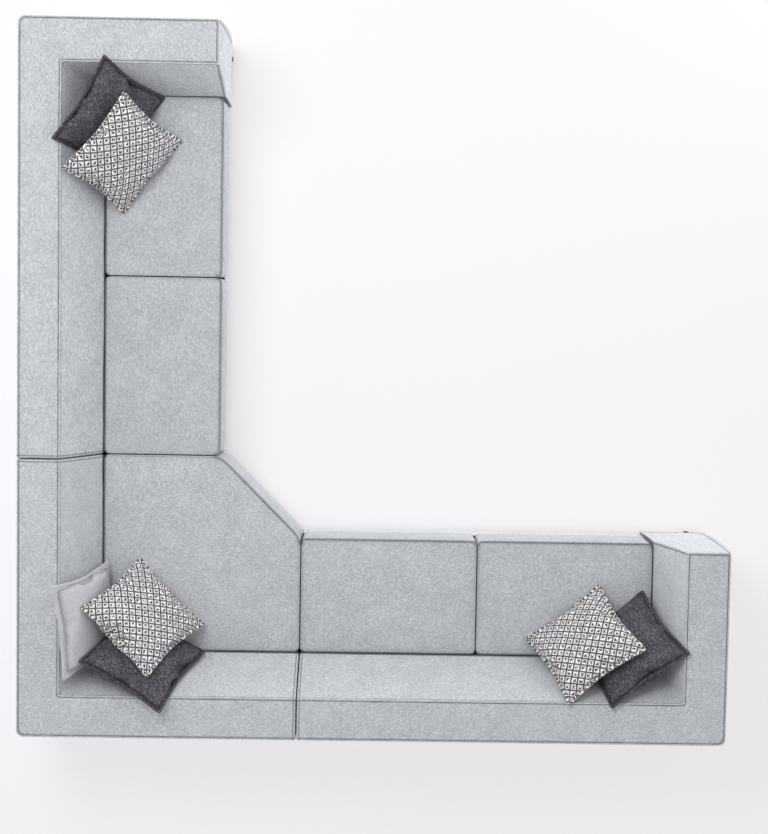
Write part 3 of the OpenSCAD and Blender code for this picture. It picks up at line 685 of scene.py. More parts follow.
def inflate(piece, pressure, frames, stiffness, bending, mass=0.3, pinned=None):
    """Swells a closed mesh by cloth simulation without gravity and applies the result."""
    activate(piece)
    modifier = piece.modifiers.new("Cloth", "CLOTH")
    settings = modifier.settings
    settings.quality = 6
    settings.mass = mass
    settings.tension_stiffness = stiffness
    settings.compression_stiffness = stiffness
    settings.shear_stiffness = stiffness / 2
    settings.bending_stiffness = bending
    settings.use_pressure = True
    settings.uniform_pressure_force = pressure
    settings.effector_weights.gravity = 0.0
    if pinned:
        settings.vertex_group_mass = pinned
    modifier.collision_settings.use_collision = False
    modifier.point_cache.frame_start = 1
    modifier.point_cache.frame_end = frames
    scene = bpy.context.scene
    for number in range(1, frames + 1):
        scene.frame_set(number)
    bpy.ops.object.modifier_apply(modifier=modifier.name)
    scene.frame_set(1)


def rounded_outline(corners, radius):
    """A plan outline with its corners rounded, blunt ones over a longer way."""
    steps = 5
    points = []
    n = len(corners)
    for i, at in enumerate(corners):
        back, on = (corners[i - 1] - at).normalized(), (corners[(i + 1) % n] - at).normalized()
        reach = radius * (1 + 1.3 * max(0.0, -back.dot(on)))
        a, b = at + back * reach, at + on * reach
        for k in range(steps + 1):
            t = k / steps
            points.append(a * (1 - t) ** 2 + at * 2 * t * (1 - t) + b * t * t)
    return points


def resample(points, spacing):
    """Evenly spaced points along a closed outline."""
    n = len(points)
    lengths = [(points[(i + 1) % n] - points[i]).length for i in range(n)]
    total = sum(lengths)
    count = max(8, round(total / spacing))
    result, i, passed = [], 0, 0.0
    for k in range(count):
        target = total * k / count
        while passed + lengths[i] < target:
            passed += lengths[i]
            i += 1
        result.append(points[i].lerp(points[(i + 1) % n], (target - passed) / lengths[i]))
    return result


def bead_tube(bm, path, outs, radius_out, radius_up, painted_shade_layer, shade=0.0, uv_layer=None):
    """A closed round bead along a closed path; outs gives each point's outward direction."""
    sides = 8
    n = len(path)
    passed = 0.0
    rings = []
    for i, at in enumerate(path):
        run = (path[(i + 1) % n] - path[i - 1]).normalized()
        out = outs[i] - run * outs[i].dot(run)
        out.normalize()
        up = run.cross(out)
        ring = []
        for k in range(sides):
            angle = 2 * math.pi * k / sides
            vert = bm.verts.new(at + out * math.cos(angle) * radius_out
                                + up * math.sin(angle) * radius_up)
            vert[painted_shade_layer] = shade
            ring.append(vert)
        rings.append(ring)
    for i in range(n):
        first, second = rings[i], rings[(i + 1) % n]
        for k in range(sides):
            face = bm.faces.new((first[k], second[k], second[(k + 1) % sides],
                                 first[(k + 1) % sides]))
            face.smooth = True
            if uv_layer:
                step = (path[(i + 1) % n] - path[i]).length
                for loop, (du, dv) in zip(face.loops, ((0, k), (step, k), (step, k + 1),
                                                       (0, k + 1))):
                    loop[uv_layer].uv = (passed + du, dv * 2 * math.pi * radius_up / sides)
                if k == sides - 1:
                    passed += step
    return rings


def distance_to(point, start, end):
    """Distance in plan of a point from a segment."""
    run = end - start
    share = max(0.0, min(1.0, (point - start).dot(run) / run.length_squared))
    return (start + run * share - point).length


def seat_mesh(name, corners, front, backs, low, high, frames):
    """A box seat cushion: its form is voxel-remeshed, its seams are held, and pressure swells
    the panels between them. front is the open side; the others are painted in deep shade, the
    edges along the backs most of all."""
    radius = 0.022
    crown = 0.009
    # Within this distance in plan, a point belongs to the open front
    front_reach = 0.03
    outline = resample(rounded_outline(corners, radius), 0.01)
    centre = sum(outline, Vector((0.0, 0.0))) / len(outline)
    n = len(outline)
    bm = bmesh.new()
    rings = [[bm.verts.new((*(p + (centre - p).normalized() * drawn), z)) for p in outline]
             for drawn, z in ((0.005, low), (0.0, low + 0.005), (0.0, high - 0.013),
                              (0.005, high - 0.008))]
    join_rings(bm, rings)
    bm.faces.new(list(reversed(rings[0])))
    bm.faces.new(rings[-1])
    piece = new_piece(name, bm, bpy.data.materials["pale_melange_cloth"])
    activate(piece)
    remesh = piece.modifiers.new("Remesh", "REMESH")
    remesh.mode = "VOXEL"
    remesh.voxel_size = 0.012
    bpy.ops.object.modifier_apply(modifier=remesh.name)
    seams = (low + 0.003, high - 0.010)
    before = [v.co.copy() for v in piece.data.vertices]
    distances = [min(distance_to(p.xy, outline[i - 1], outline[i]) for i in range(n))
                 for p in before]
    near = [min(math.hypot(d, p.z - s) for s in seams) for p, d in zip(before, distances)]
    held = 0.014
    holds = piece.vertex_groups.new(name="hold")
    holds.add([i for i, d in enumerate(near) if d < held], 1.0, "REPLACE")
    if frames:
        inflate(piece, 3.0, frames, stiffness=18.0, bending=2.0, pinned="hold")
    ahead = [distance_to(p.xy, *front) for p in before]
    run = (front[1] - front[0]).normalized()
    forward = Vector((run.y, -run.x))
    if forward.dot(front[0] - centre) < 0:
        forward.negate()
    for v, p, d, f in zip(piece.data.vertices, before, distances, ahead):
        move = v.co - p
        if not frames:
            share = min(1.0, d / 0.2) if p.z > (low + high) / 2 else 0.0
            move = Vector((0.0, 0.0, crown * share))
        if p.z < low + 0.02:
            move.z = max(move.z, 0.0)
        if move.length > crown:
            move *= crown / move.length
        if d < 0.008 and f > 0.02:
            # A side wall lies against its neighbour
            move.xy *= 0.15
        elif f < front_reach:
            # The open front bellies out between its seams
            share = min(1.0, max(0.0, (p.z - low) / (seams[1] - low)))
            ends = min((p.xy - end).length for end in front)
            belly = 0.012 * swell_share(share) * min(1.0, ends / 0.08) ** 0.6
            move.xy = forward * belly * (1 - f / front_reach)
        v.co = p + move
    piece.vertex_groups.clear()
    bm = bmesh.new()
    bm.from_mesh(piece.data)
    painted_shade_layer = bm.verts.layers.float.new("seam")
    for v, p, d, f, edge in zip(bm.verts, before, near, ahead, distances):
        # Painted shade: the grooves beside the seams, full on the open front and faint elsewhere,
        # and the sides below the top, darker towards the bottom, in the gaps between neighbours
        stitched = 0.55 * bell(max(0.0, d - 0.004), 0.004)
        deep = 0.9 * min(1.0, max(0.0, (high - 0.02 - p.z) / 0.03))
        # Painted shade: darker towards the edges that meet a neighbour, where the crown falls away
        painted_edge_shade = 0.13 * math.exp(-edge / 0.024) * min(1.0, f / 0.08)
        if f < front_reach:
            # Painted shade on the open front below its top seam
            deep = 0.22 if p.z < high - 0.012 else 0.04
            stitched *= 1.0 if p.z > low + 0.1 else 0.25
        else:
            stitched *= 0.3
        v[painted_shade_layer] = max(stitched, deep, painted_edge_shade)
    path = resample(rounded_outline(corners, radius), 0.012)
    m = len(path)
    for z in seams:
        top = z == seams[1]
        loop, outs = [], []
        for i, p in enumerate(path):
            run = path[(i + 1) % m] - path[i - 1]
            out = Vector((run.y, -run.x)).normalized()
            inset = 0.0025 + 0.0005 * ripple((p.x, p.y, z), 0.05)
            at = p - out * inset
            loop.append(Vector((at.x, at.y, z + 0.0008 * ripple((p.x, p.y, z), 0.08, 2.0))))
            outs.append(Vector((out.x, out.y, 0.5 if top else -0.5)).normalized())
        tube = bead_tube(bm, loop, outs, 0.0036, 0.0036, painted_shade_layer)
        # Painted shade on the beads: darkest along the backs, mid on the open front's top seam,
        # light elsewhere
        for ring, p in zip(tube, path):
            shade = 0.62 if top and distance_to(p, *front) < front_reach else 0.18
            if min(distance_to(p, *edge) for edge in backs) < 0.008:
                shade = 0.85
            for vert in ring:
                vert[painted_shade_layer] = shade
    bm.to_mesh(piece.data)
    bm.free()
    return piece


def corner_outline(wall_in, end_in, front_in, sizes):
    """Plan corners of the corner seat in x from the outer corner and y negative inwards."""
    a, e = wall_in, sizes.corner_width - end_in
    cut = sizes.corner_width + sizes.depth - front_in * math.sqrt(2)
    return [Vector(p) for p in ((a, -a), (a, -e), (cut - e, -e), (e, e - cut), (e, -a))]


def unevenness(point, seed, sizes):
    """How far a seat is higher or lower at a point than it was made, and not at its bottom."""
    return 0.0018 * ripple(point, 0.21, seed) * min(1.0, (point[2] - sizes.deck_height) / 0.1)


def place_seat(piece, side, seat, sizes):
    """Moves a seat's mesh, made for the right section's seat beside the joint, to its place."""
    seed = 5.0 * seat + (9.0 if side == "left" else 0.0)
    for v in piece.data.vertices:
        u, w, z = v.co.x + seat * sizes.seat_width, -v.co.y, v.co.z
        v.co = PLACES[side](u, w, z + unevenness((u, w, z), seed, sizes))
    if side == "left":
        piece.data.flip_normals()


# A scatter cushion leans: its middle plane passes through a point on the level of the wall tops,
# given as distances from the inner corner of back and arm (or of the two backs). It is tilted
# from flat, faces a direction, is turned in its own plane and lifted, in degrees and millimetres.
LEANING = {
    "right_charcoal": (-176.0, -114.0, 52.5, -121.5, 0.0, -4.2),
    "right_patterned": (-310.8, -165.7, 48.0, -128.5, 0.0, -0.6),
    "left_charcoal": (-168.2, -128.6, 48.0, -126.5, 0.0, -3.0),
    "left_patterned": (-356.4, -145.9, 46.5, -128.5, 1.5, -1.9),
    "corner_grey": (320.6, -64.4, 63.0, -87.0, 6.8, -10.5),
    "corner_charcoal": (91.0, -324.3, 51.6, -25.0, -8.5, -2.6),
    "corner_patterned": (266.3, -293.8, 48.4, -40.2, -6.9, -1.4),
}
PILLOW_CLOTH = {"charcoal": "charcoal_melange_cloth", "patterned": "lattice_cloth",
                "grey": "light_grey_cloth"}


def leaning_matrix(name, sizes):
    x, y, tilt, facing, turn, lift = LEANING[name]
    tilt, facing, turn = (math.radians(v) for v in (tilt, facing, turn))
    end_len = 2 * sizes.seat_width + sizes.arm_low
    corner = Vector((sizes.back_top, -sizes.back_top) if name.startswith("corner")
                    else (end_len - sizes.arm_top, -sizes.back_top))
    drop = (sizes.pillow_side / 2 * (math.cos(turn) + abs(math.sin(turn))) * math.sin(tilt)
            + sizes.pillow_rim / 2 * math.cos(tilt))
    up = sizes.seat_height + lift * MM + drop
    out = (sizes.height - up) / math.tan(tilt)
    at = corner + Vector((x, y)) * MM + Vector((math.cos(facing), math.sin(facing))) * out
    pose = (Matrix.Translation((at.x, at.y, up)) @ Matrix.Rotation(facing, 4, "Z")
            @ Matrix.Rotation(tilt, 4, "Y") @ Matrix.Rotation(turn, 4, "Z"))
    if name.startswith("corner"):
        return Matrix.Translation((-HALF, HALF, 0.0)) @ pose
    pose = Matrix.Translation((-JOINT_AT, HALF, 0.0)) @ pose
    if name.startswith("left"):
        swap = Matrix(((0, -1, 0, 0), (-1, 0, 0, 0), (0, 0, 1, 0), (0, 0, 0, 1)))
        pose = swap @ pose
    return pose


def pillow_half(x, y, sizes):
    """Half thickness of the drawn cushion at shares x and y of its half side."""
    full = max(0.0, 1 - x * x) * max(0.0, 1 - y * y)
    return (sizes.pillow_loft - sizes.pillow_rim) / 2 * full ** 0.6 + sizes.pillow_rim / 2


def smoothed(values, width):
    """Moving average of a list that leaves its ends as they are."""
    last = len(values) - 1
    result = []
    for k in range(last + 1):
        reach = min(width, k, last - k)
        part = values[k - reach:k + reach + 1]
        result.append(sum(part) / len(part))
    return result


def fit_pillow(me, flat, n, sizes, flange):
    """Scales the swelled form to its size: the corners stay, the sides draw in between and run
    smoothly. flange is the width of a flat border in cells of the mesh."""
    # The bead along the seam adds the rest
    side = sizes.pillow_side / 2 - 0.004
    loft = max(abs(v.co.z) for v in me.vertices)
    index = {}
    for k, ij in flat.items():
        index.setdefault(ij, []).append(k)
    for axis in (0, 1):
        borders = {}
        for end in (0, n):
            ids = [index[(end, k) if axis == 0 else (k, end)][0] for k in range(n + 1)]
            for part in range(3):
                run = smoothed([me.vertices[i].co[part] for i in ids], 5)
                run = smoothed(run, 3)
                if part == axis:
                    borders[end] = [abs(value) for value in run]
                for i, value in zip(ids, run):
                    me.vertices[i].co[part] = value
        for v in me.vertices:
            ij = flat[v.index]
            t = 2 * ij[1 - axis] / n - 1
            wanted = side - sizes.pillow_draw * (1 - abs(t) ** 1.6)
            v.co[axis] *= wanted / borders[n if v.co[axis] > 0 else 0][ij[1 - axis]]
    for v in me.vertices:
        i, j = flat[v.index]
        x, y = 2 * i / n - 1, 2 * j / n - 1
        v.co.z *= (sizes.pillow_loft / 2) / loft
        most = pillow_half(x, y, sizes) + 0.003
        edge = min(i, j, n - i, n - j)
        if flange and edge < flange + 5:
            share = max(0.0, (edge - flange) / 5)
            most = min(most, 0.0035 + 0.05 * share * share * (3 - 2 * share))
        v.co.z = max(-most, min(most, v.co.z))


def thread_lengths(me, ids, n):
    """The cloth doesn't stretch: its coordinates are lengths along the threads from the middle,
    by vertex, layer and axis. ids gives the vertex of each crossing and layer."""
    threads = {}
    for up in (-1, 1):
        for axis in (0, 1):
            for line in range(n + 1):
                run = [ids[(k, line, up) if axis == 0 else (line, k, up)] for k in range(n + 1)]
                places = [me.vertices[i].co for i in run]
                for way, end in ((1, n), (-1, 0)):
                    total = 0.0
                    for k in range(n // 2, end + way, way):
                        threads[run[k], up, axis] = way * total
                        if k != end:
                            total += (places[k + way] - places[k]).length
    return threads


def pillow_mesh(kind, seed, sizes, frames):
    """A filled cushion about its own middle: two square cloths sewn at their edges and swelled
    by pressure, then fitted to the drawn cushion's size, with a rolled bead along the seam."""
    # Cells along a side, and half the side that the cloth is cut to
    n = 44
    cut = 0.225
    side = sizes.pillow_side / 2
    bm = bmesh.new()
    flat = {}
    layers = {}
    for up in (-1, 1):
        for i in range(n + 1):
            for j in range(n + 1):
                if up == 1 and (i in (0, n) or j in (0, n)):
                    layers[i, j, up] = layers[i, j, -1]
                    continue
                x, y = 2 * i / n - 1, 2 * j / n - 1
                rise = 0.010 * ((1 - x * x) * (1 - y * y)) ** 0.35
                rise *= 1 + 0.5 * ripple((x, y, up * 2.0), 0.6, seed)
                v = bm.verts.new((x * cut, y * cut, up * rise))
                layers[i, j, up] = v
    bm.verts.index_update()
    for up in (-1, 1):
        for i in range(n):
            for j in range(n):
                ring = [layers[i, j, up], layers[i + 1, j, up], layers[i + 1, j + 1, up],
                        layers[i, j + 1, up]]
                bm.faces.new(ring if up == 1 else list(reversed(ring)))
    ids = {}
    for (i, j, up), v in layers.items():
        flat[v.index] = (i, j)
        ids[i, j, up] = v.index
    piece = new_piece(f"{kind}_form", bm, bpy.data.materials[PILLOW_CLOTH[kind]])
    if frames:
        inflate(piece, 2.6, frames, stiffness=20.0, bending=0.8, mass=0.2)
    me = piece.data
    if not frames:
        for v in me.vertices:
            x, y = v.co.x / cut, v.co.y / cut
            v.co.x *= 1 - 0.06 * (1 - y * y)
            v.co.y *= 1 - 0.06 * (1 - x * x)
            if abs(v.co.z) > 1e-6:
                v.co.z = math.copysign(pillow_half(x, y, sizes), v.co.z)
    flange = 2.5 if kind == "grey" else 0
    fit_pillow(me, flat, n, sizes, flange)
    # Creases run in from the seam, where the cloth is gathered
    for v in me.vertices:
        i, j = flat[v.index]
        x, y = 2 * i / n - 1, 2 * j / n - 1
        edge = min(1 - abs(x), 1 - abs(y))
        if edge > 1e-6:
            where = y if 1 - abs(x) < 1 - abs(y) else x
            fold = ripple((where * side, edge * 0.05, math.copysign(0.3, v.co.z)), 0.026, seed)
            v.co.z += math.copysign(0.0022, v.co.z) * fold * bell(edge, 0.22)
    threads = thread_lengths(me, ids, n)
    bm = bmesh.new()
    bm.from_mesh(me)
    painted_shade_layer = bm.verts.layers.float.new("seam")
    uv_layer = bm.loops.layers.uv.new("Cloth")
    bm.verts.ensure_lookup_table()
    # The lower cloth's faces come first
    for face in bm.faces:
        up = -1 if face.index < n * n else 1
        for loop in face.loops:
            loop[uv_layer].uv = [threads[loop.vert.index, up, axis] for axis in (0, 1)]
    for v in bm.verts:
        # Painted shade along the rolled seam, dark at the edge and fading over two rows; on the
        # flanged cushion a thin painted shade line where the flange meets the body
        i, j = flat[v.index]
        edge = min(i, j, n - i, n - j)
        v[painted_shade_layer] = {0: 1.0, 1: 0.75, 2: 0.25}.get(edge, 0.0)
        if flange:
            v[painted_shade_layer] = {0: 0.3, 3: 0.8, 4: 0.35}.get(edge, 0.0)
    order = ([(i, 0) for i in range(n)] + [(n, j) for j in range(n)]
             + [(i, n) for i in range(n, 0, -1)] + [(0, j) for j in range(n, 0, -1)])
    back = {ij: k for k, ij in flat.items()}
    path = [bm.verts[back[ij]].co.copy() for ij in order]
    outs = [Vector((p.x, p.y, 0.0)).normalized() for p in path]
    m = len(path)
    for k in range(m):
        run = path[(k + 1) % m] - path[k - 1]
        outs[k] = (Vector((run.y, -run.x, 0.0)).normalized() + outs[k] * 0.2).normalized()
    path = [p + o * 0.002 for p, o in zip(path, outs)]
    # Painted shade on the charcoal cushion's bead
    shade = 0.25 if kind == "charcoal" else 0.0
    bead_tube(bm, path, outs, 0.0075, 0.0048, painted_shade_layer, shade, uv_layer)
    bm.to_mesh(me)
    bm.free()
    return piece


# ---------------------------------------------------------------- operators

class SOFA_OT_finishes(bpy.types.Operator):
    """Make the fabrics and finishes, and give the frame's own parts theirs"""
    bl_idname = "sofa.finishes"
    bl_label = "Finishes"

    def execute(self, context):
        tones = context.scene.sofa_colours
        # The upholstery's warp runs along each row of seats, and its flecks with it
        pale = (tones.cloth, tones.cloth_dark, tones.cloth_light)
        melange_cloth("pale_melange_cloth", *pale, threads=(1.4, 0.6), stretch=0.3)
        melange_cloth("pale_melange_cloth_turned", *pale, threads=(0.6, 1.4), stretch=0.3)
        melange_cloth("charcoal_melange_cloth", tones.charcoal, tones.charcoal_deep,
                      tones.charcoal_fleck, fleck=0.0045, painted_shade_tone="#1b1a1f", sheen=0.03)
        melange_cloth("light_grey_cloth", tones.light_grey, srgb("#adafb6"), srgb("#d9dadd"),
                      fleck=0.003, contrast=0.7, painted_shade_tone="#85868c")
        lattice_cloth("lattice_cloth", tones.off_white, tones.lattice)
        made = {
            "pine": wood("planed_pine", "#dcc093", "#c39f6a"),
            "plywood": wood("sawn_plywood", "#cdb083", "#b39161", ring=0.006),
            # Hardboard is pressed wood fibre, with a faint felted grain
            "hardboard": plain_surface("pressed_hardboard", "#8f6f4e", "#7d5f41", 0.004, 0.0002,
                                       0.75),
            # Open-cell polyurethane foam, cream and porous
            "foam": plain_surface("open_cell_foam", "#e8dfbd", "#d8cda6", 0.0025, 0.001, 0.95,
                                  sheen=0.1),
            # Zinc-plated steel with a faint crystalline mottling
            "steel": plain_surface("zinc_plated_steel", "#b9bcc0", "#a3a6aa", 0.006, 0.0001,
                                   0.38, metallic=1.0),
            # Moulded polypropylene with a fine sparked texture
            "black_plastic": plain_surface("moulded_polypropylene", "#262629", "#303034", 0.0012,
                                           0.0002, 0.55),
            # Woven elastic webbing and non-woven cloth, dark grey and matt
            "lining": plain_surface("dark_lining_cloth", "#47474a", "#3a3a3d", 0.003, 0.0005,
                                    0.95, sheen=0.1),
        }
        slots = {s["node"]: s["material_slot"] for s in frame["record"]["subparts"]}
        for node, piece in frame["nodes"].items():
            material = made.get(slots[node])
            if material:
                piece.data.materials.clear()
                piece.data.materials.append(material)
        return {"FINISHED"}


class SOFA_OT_walls(bpy.types.Operator):
    """Upholster the backs and arms of the three sections"""
    bl_idname = "sofa.walls"
    bl_label = "Backs and arms"

    def execute(self, context):
        s = context.scene.sofa_sizes
        back = wall_rows(s.back_top, s.back_low, s.deck_height, s)
        arm = wall_rows(s.arm_top, s.arm_low, s.foot_height, s)
        end_len = 2 * s.seat_width + s.arm_low
        for side in SIDES:
            piece = wall_shell(PLACES[side], s, end_len, s.depth, back, arm,
                               f"{side}_upholstery", True)
            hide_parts(f"{side}_back_cover", f"{side}_arm_cover", f"{side}_back_foam",
                        f"{side}_arm_foam")
            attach(piece, f"{side}_section")
        piece = wall_shell(corner_place, s, s.corner_width, s.corner_width - s.section_gap / 2,
                           back, back, "corner_upholstery", False)
        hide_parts("corner_back_cover", "corner_back_foam")
        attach(piece, "corner_section")
        return {"FINISHED"}


class SOFA_OT_base(bpy.types.Operator):
    """Cover the base: its front panels, the cloth under the seats and the one beneath"""
    bl_idname = "sofa.base"
    bl_label = "Base"

    def execute(self, context):
        s = context.scene.sofa_sizes
        joint = s.section_gap / 2
        front = s.depth - s.front_set
        arm_face = 2 * s.seat_width
        # The cloths run on under the back, and end inside the frame's edges
        wall = s.back_low - 0.05
        inner = 0.003
        for side in SIDES:
            place = PLACES[side]
            path = [place(*p, 0.0).xy for p in ((joint, wall), (joint, front),
                                                (arm_face + 0.004, front))]
            open_side = path[1:]
            if side == "right":
                path.reverse()
            deck = [place(*p, 0.0).xy for p in (
                (joint + inner, wall), (joint + inner, front - inner),
                (arm_face, front - inner), (arm_face, wall))]
            under = [place(*p, 0.0).xy for p in (
                (joint + inner, inner), (joint + inner, front - inner),
                (arm_face + inner, front - inner), (arm_face + inner, s.depth - inner),
                (arm_face + s.arm_low - inner, s.depth - inner),
                (arm_face + s.arm_low - inner, inner))]
            self.cover(side, path, open_side, deck, under, s)
        shape = corner_outline(0.0, joint, s.front_set, s)
        start, end = Vector((wall, shape[1].y)), Vector((shape[4].x, -wall))
        path = [p + Vector((-HALF, HALF)) for p in (start, shape[2], shape[3], end)]
        deck, under = ([p + Vector((-HALF, HALF)) for p in
                        corner_outline(edge, joint + inner, s.front_set + inner, s)]
                       for edge in (wall, inner))
        self.cover("corner", path, path[1:3], deck, under, s)
        return {"FINISHED"}

    def cover(self, section, path, open_side, deck, under, s):
        """The front panel, the cloth under the seats and the one beneath, of one section."""
        body = f"{section}_section"
        deck_thick, deck_sag, under_thick = 0.0025, 0.0008, 0.0018
        self.band(f"{section}_base_panel", path, open_side, s, f"{section}_base_cover", body)
        self.sheet(f"{section}_seat_deck", deck, s.deck_height - deck_thick, deck_thick, deck_sag,
                   f"{section}_deck_cloth", body, f"{section}_webbing")
        self.sheet(f"{section}_underside", under, s.foot_height, under_thick, 0.0,
                   f"{section}_dust_cover", body, f"{section}_base_frame")

    def band(self, name, path, open_side, s, node, body):
        thick = 0.0028
        piece = strip_shell(name, path, open_side, s.foot_height, s.deck_height + 0.001, thick,
                            row_cloth(name))
        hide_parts(node)
        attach(piece, body)

    def sheet(self, name, corners, low, thick, sag, node, body, rests):
        lining = bpy.data.materials["dark_lining_cloth"]
        piece = cloth_panel(name, corners, low, thick, lining, sag)
        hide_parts(node)
        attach(piece, body)


class SOFA_OT_seats(bpy.types.Operator):
    """Make the loose seat cushions"""
    bl_idname = "sofa.seats"
    bl_label = "Seat cushions"

    def execute(self, context):
        s = context.scene.sofa_sizes
        frames = 14
        low, high = s.deck_height + 0.0006, s.seat_height
        g = s.seat_gap / 2 + 0.0003
        corners = [Vector(p) for p in ((g, -s.depth), (s.seat_width - g, -s.depth),
                                       (s.seat_width - g, -s.back_low - g), (g, -s.back_low - g))]
        form = seat_mesh("end_seat_form", corners, corners[:2], [corners[2:]], low, high, frames)
        for side in SIDES:
            for number, seat in enumerate(SEATS):
                self.finish(duplicate(form), f"{side}_{seat}_seat", side, number, s)
        bpy.data.objects.remove(form)
        shape = corner_outline(s.back_low + g, g, 0.0, s)
        piece = seat_mesh("corner_form", shape, shape[2:4], [shape[:2], (shape[4], shape[0])],
                          low, high, frames)
        for v in piece.data.vertices:
            v.co += Vector((-HALF, HALF, unevenness(v.co, 31.0, s)))
        self.finish(piece, "corner_seat", "corner", 0, s)
        return {"FINISHED"}

    def finish(self, piece, name, side, number, s):
        if side != "corner":
            place_seat(piece, side, number, s)
        piece.name = f"{name}_cushion"
        piece.data.name = piece.name
        piece.data.materials[0] = row_cloth(name)
        if side == "right":
            # Painted shade: these seats are made a shade darker all over, for how their cloth, with
            # its nap brushed the other way, takes the light
            for value in piece.data.attributes["seam"].data:
                value.value = max(value.value, 0.07)
        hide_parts(f"{name}_cover", f"{name}_core")
        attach(piece, name)


class SOFA_OT_pillows(bpy.types.Operator):
    """Make the scatter cushions and lean them in their places"""
    bl_idname = "sofa.pillows"
    bl_label = "Scatter cushions"

    def execute(self, context):
        s = context.scene.sofa_sizes
        frames = 22
        forms = {}
        for number, name in enumerate(LEANING):
            kind = name.split("_")[1]
            if kind not in forms:
                forms[kind] = pillow_mesh(kind, 3.0 * len(forms) + 1.0, s, frames)
            piece = duplicate(forms[kind])
            quarter = Matrix.Rotation(math.radians(90) * (number % 4), 4, "Z")
            pose = leaning_matrix(name, s)
            piece.data.transform(pose @ quarter)
            if pose.determinant() < 0:
                piece.data.flip_normals()
            piece.name = f"{name}_scatter_cushion"
            piece.data.name = piece.name
            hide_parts(f"{name}_cushion")
            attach(piece, name)
        for form in forms.values():
            bpy.data.objects.remove(form)
        return {"FINISHED"}


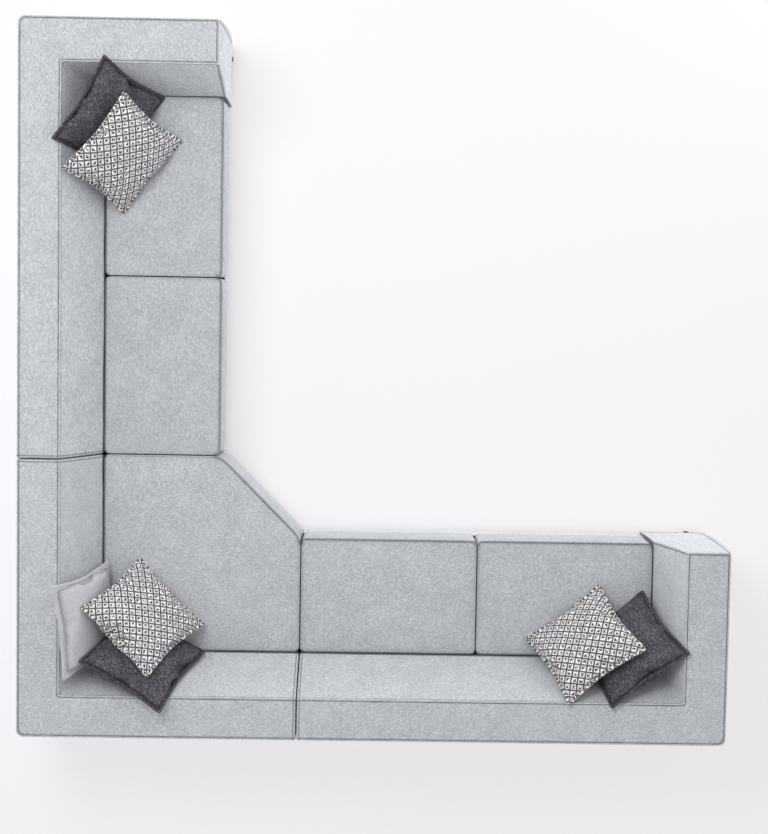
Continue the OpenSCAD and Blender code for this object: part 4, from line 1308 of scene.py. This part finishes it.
class SOFA_OT_stage(bpy.types.Operator):
    """Set the pale floor, the soft light and the camera"""
    bl_idname = "sofa.stage"
    bl_label = "Stage"

    def execute(self, context):
        scene = context.scene
        self.floor()
        self.light(scene)
        self.camera(scene)
        scene.view_settings.view_transform = "Standard"
        return {"FINISHED"}

    def direct(self, tree):
        """1 for what the camera, a mirror or glass shows, 0 for light that only falls on things."""
        path = add(tree, "ShaderNodeLightPath").outputs
        seen = path["Is Camera Ray"]
        for kind in ("Is Glossy Ray", "Is Transmission Ray"):
            seen = add(tree, "ShaderNodeMath", {0: seen, 1: path[kind]},
                       operation="MAXIMUM").outputs[0]
        return seen

    def floor(self):
        deselect()
        bpy.ops.mesh.primitive_plane_add(size=60, location=(0, 0, 0))
        floor = bpy.context.active_object
        floor.name = "studio_floor"
        material, tree = new_material("white_studio_floor")
        diffuse = add(tree, "ShaderNodeBsdfDiffuse", {"Color": (0.84, 0.84, 0.84, 1.0)})
        # Seen by the camera, the floor is lifted to the backdrop's white and keeps its shadows
        seen = add(tree, "ShaderNodeBsdfDiffuse", {"Color": (0.48, 0.48, 0.48, 1.0)})
        glow = add(tree, "ShaderNodeEmission", {"Color": (1.0, 0.975, 1.0, 1.0), "Strength": 0.49})
        lit = add(tree, "ShaderNodeEmission", {"Color": (1.0, 1.0, 1.0, 1.0), "Strength": 0.85})
        indirect = add(tree, "ShaderNodeAddShader", {0: diffuse.outputs[0], 1: lit.outputs[0]})
        shown = add(tree, "ShaderNodeAddShader", {0: seen.outputs[0], 1: glow.outputs[0]})
        mix = add(tree, "ShaderNodeMixShader", {
            0: self.direct(tree), 1: indirect.outputs[0], 2: shown.outputs[0]})
        add(tree, "ShaderNodeOutputMaterial", {"Surface": mix.outputs[0]})
        arrange(tree)
        floor.data.materials.append(material)

    def light(self, scene):
        world = bpy.data.worlds.new("studio")
        scene.world = world
        world.use_nodes = True
        tree = world.node_tree
        tree.nodes.clear()
        seen = self.direct(tree)
        place = add(tree, "ShaderNodeTexCoord").outputs["Generated"]
        up = add(tree, "ShaderNodeSeparateXYZ", {0: place}).outputs[2]
        # A ring of soft boxes: brightest beside the sofa, dimmer above it
        ring = add(tree, "ShaderNodeMapRange", {
            "Value": up, "From Max": 0.7, "To Min": 1.26, "To Max": 0.54})
        soft = add(tree, "ShaderNodeBackground", {
            "Color": (1.0, 1.0, 1.0, 1.0), "Strength": ring.outputs[0]})
        # Seen directly, the backdrop is white and meets the far floor's tone at the horizon
        fade = add(tree, "ShaderNodeMapRange", {"Value": up, "From Max": 0.3, "To Min": 0.80})
        white = add(tree, "ShaderNodeBackground", {
            "Color": (1.0, 0.995, 1.0, 1.0), "Strength": fade.outputs[0]})
        mix = add(tree, "ShaderNodeMixShader", {
            0: seen, 1: soft.outputs[0], 2: white.outputs[0]})
        add(tree, "ShaderNodeOutputWorld", {"Surface": mix.outputs[0]})
        arrange(tree)
        for name, at, aim, size, power in (
                ("overhead", (2.4, 2.0, 5.5), (-0.3, 0.3, 0.3), 3.2, 142.0),
                ("front", (2.6, -2.6, 1.0), (-0.6, 0.6, 0.3), 2.0, 13.6)):
            data = bpy.data.lights.new(name, "AREA")
            data.shape = "DISK"
            data.size = size
            data.energy = power
            lamp = bpy.data.objects.new(name, data)
            lamp.location = at
            lamp.rotation_euler = (Vector(aim) - Vector(at)).to_track_quat("-Z", "Y").to_euler()
            lamp.visible_camera = False
            scene.collection.objects.link(lamp)

    def camera(self, scene):
        """High above the sofa's middle, looking down, with +X up and -Y to the right. It is
        turned by small angles in radians. The focal length and the image's centre are in pixels,
        and its place is in metres, up and across from the outline's outer corner."""
        roll, tilt, lean = -0.0166, 0.0675, 0.0153
        focal, high, across, up = 1650.51, 7.8401, 1.5134, 1.9032
        wide, tall = 768, 834
        centre = (394.95, 418.0)
        turn = (Matrix.Rotation(roll, 3, "Z"), Matrix.Rotation(tilt, 3, "X"),
                Matrix.Rotation(lean, 3, "Y"))
        view = turn[2] @ turn[1] @ turn[0]
        # Rows are the camera's axes with image right and image up as x and y
        axes = [Vector((r[1], -r[0], r[2])) for r in view]
        matrix = Matrix.Identity(4)
        for i, axis in enumerate(axes):
            for k in range(3):
                matrix[k][i] = axis[k]
        matrix.translation = (up - HALF, HALF - across, high)
        data = bpy.data.cameras.new("camera")
        data.sensor_fit = "AUTO"
        data.sensor_width = 36.0
        data.lens = focal * 36.0 / tall
        data.shift_x = (wide / 2 - centre[0]) / tall
        data.shift_y = (centre[1] - tall / 2) / tall
        data.clip_end = 100.0
        camera = bpy.data.objects.new("camera", data)
        camera.matrix_world = matrix
        scene.collection.objects.link(camera)
        scene.camera = camera


class SOFA_PT_panel(bpy.types.Panel):
    """Lists the sofa's pieces, sizes and colours"""
    bl_idname = "SOFA_PT_panel"
    bl_label = "Corner Sofa"
    bl_space_type = "VIEW_3D"
    bl_region_type = "UI"
    bl_category = "Sofa"

    def draw(self, context):
        for group in (context.scene.sofa_sizes, context.scene.sofa_colours):
            box = self.layout.box()
            for name in group.__annotations__:
                box.prop(group, name)
        for operator in STEPS:
            self.layout.operator(operator.bl_idname)


STEPS = (SOFA_OT_stage, SOFA_OT_finishes, SOFA_OT_walls, SOFA_OT_base, SOFA_OT_seats,
         SOFA_OT_pillows)
CLASSES = (SofaSizes, SofaColours, *STEPS, SOFA_PT_panel)


def register():
    for cls in CLASSES:
        bpy.utils.register_class(cls)
    bpy.types.Scene.sofa_sizes = bpy.props.PointerProperty(type=SofaSizes)
    bpy.types.Scene.sofa_colours = bpy.props.PointerProperty(type=SofaColours)


def unregister():
    del bpy.types.Scene.sofa_colours
    del bpy.types.Scene.sofa_sizes
    for cls in reversed(CLASSES):
        bpy.utils.unregister_class(cls)


def main():
    register()
    bpy.ops.sofa.stage()
    bpy.ops.sofa.finishes()
    bpy.ops.sofa.walls()
    bpy.ops.sofa.base()
    bpy.ops.sofa.seats()
    bpy.ops.sofa.pillows()


if __name__ == "__main__":
    main()
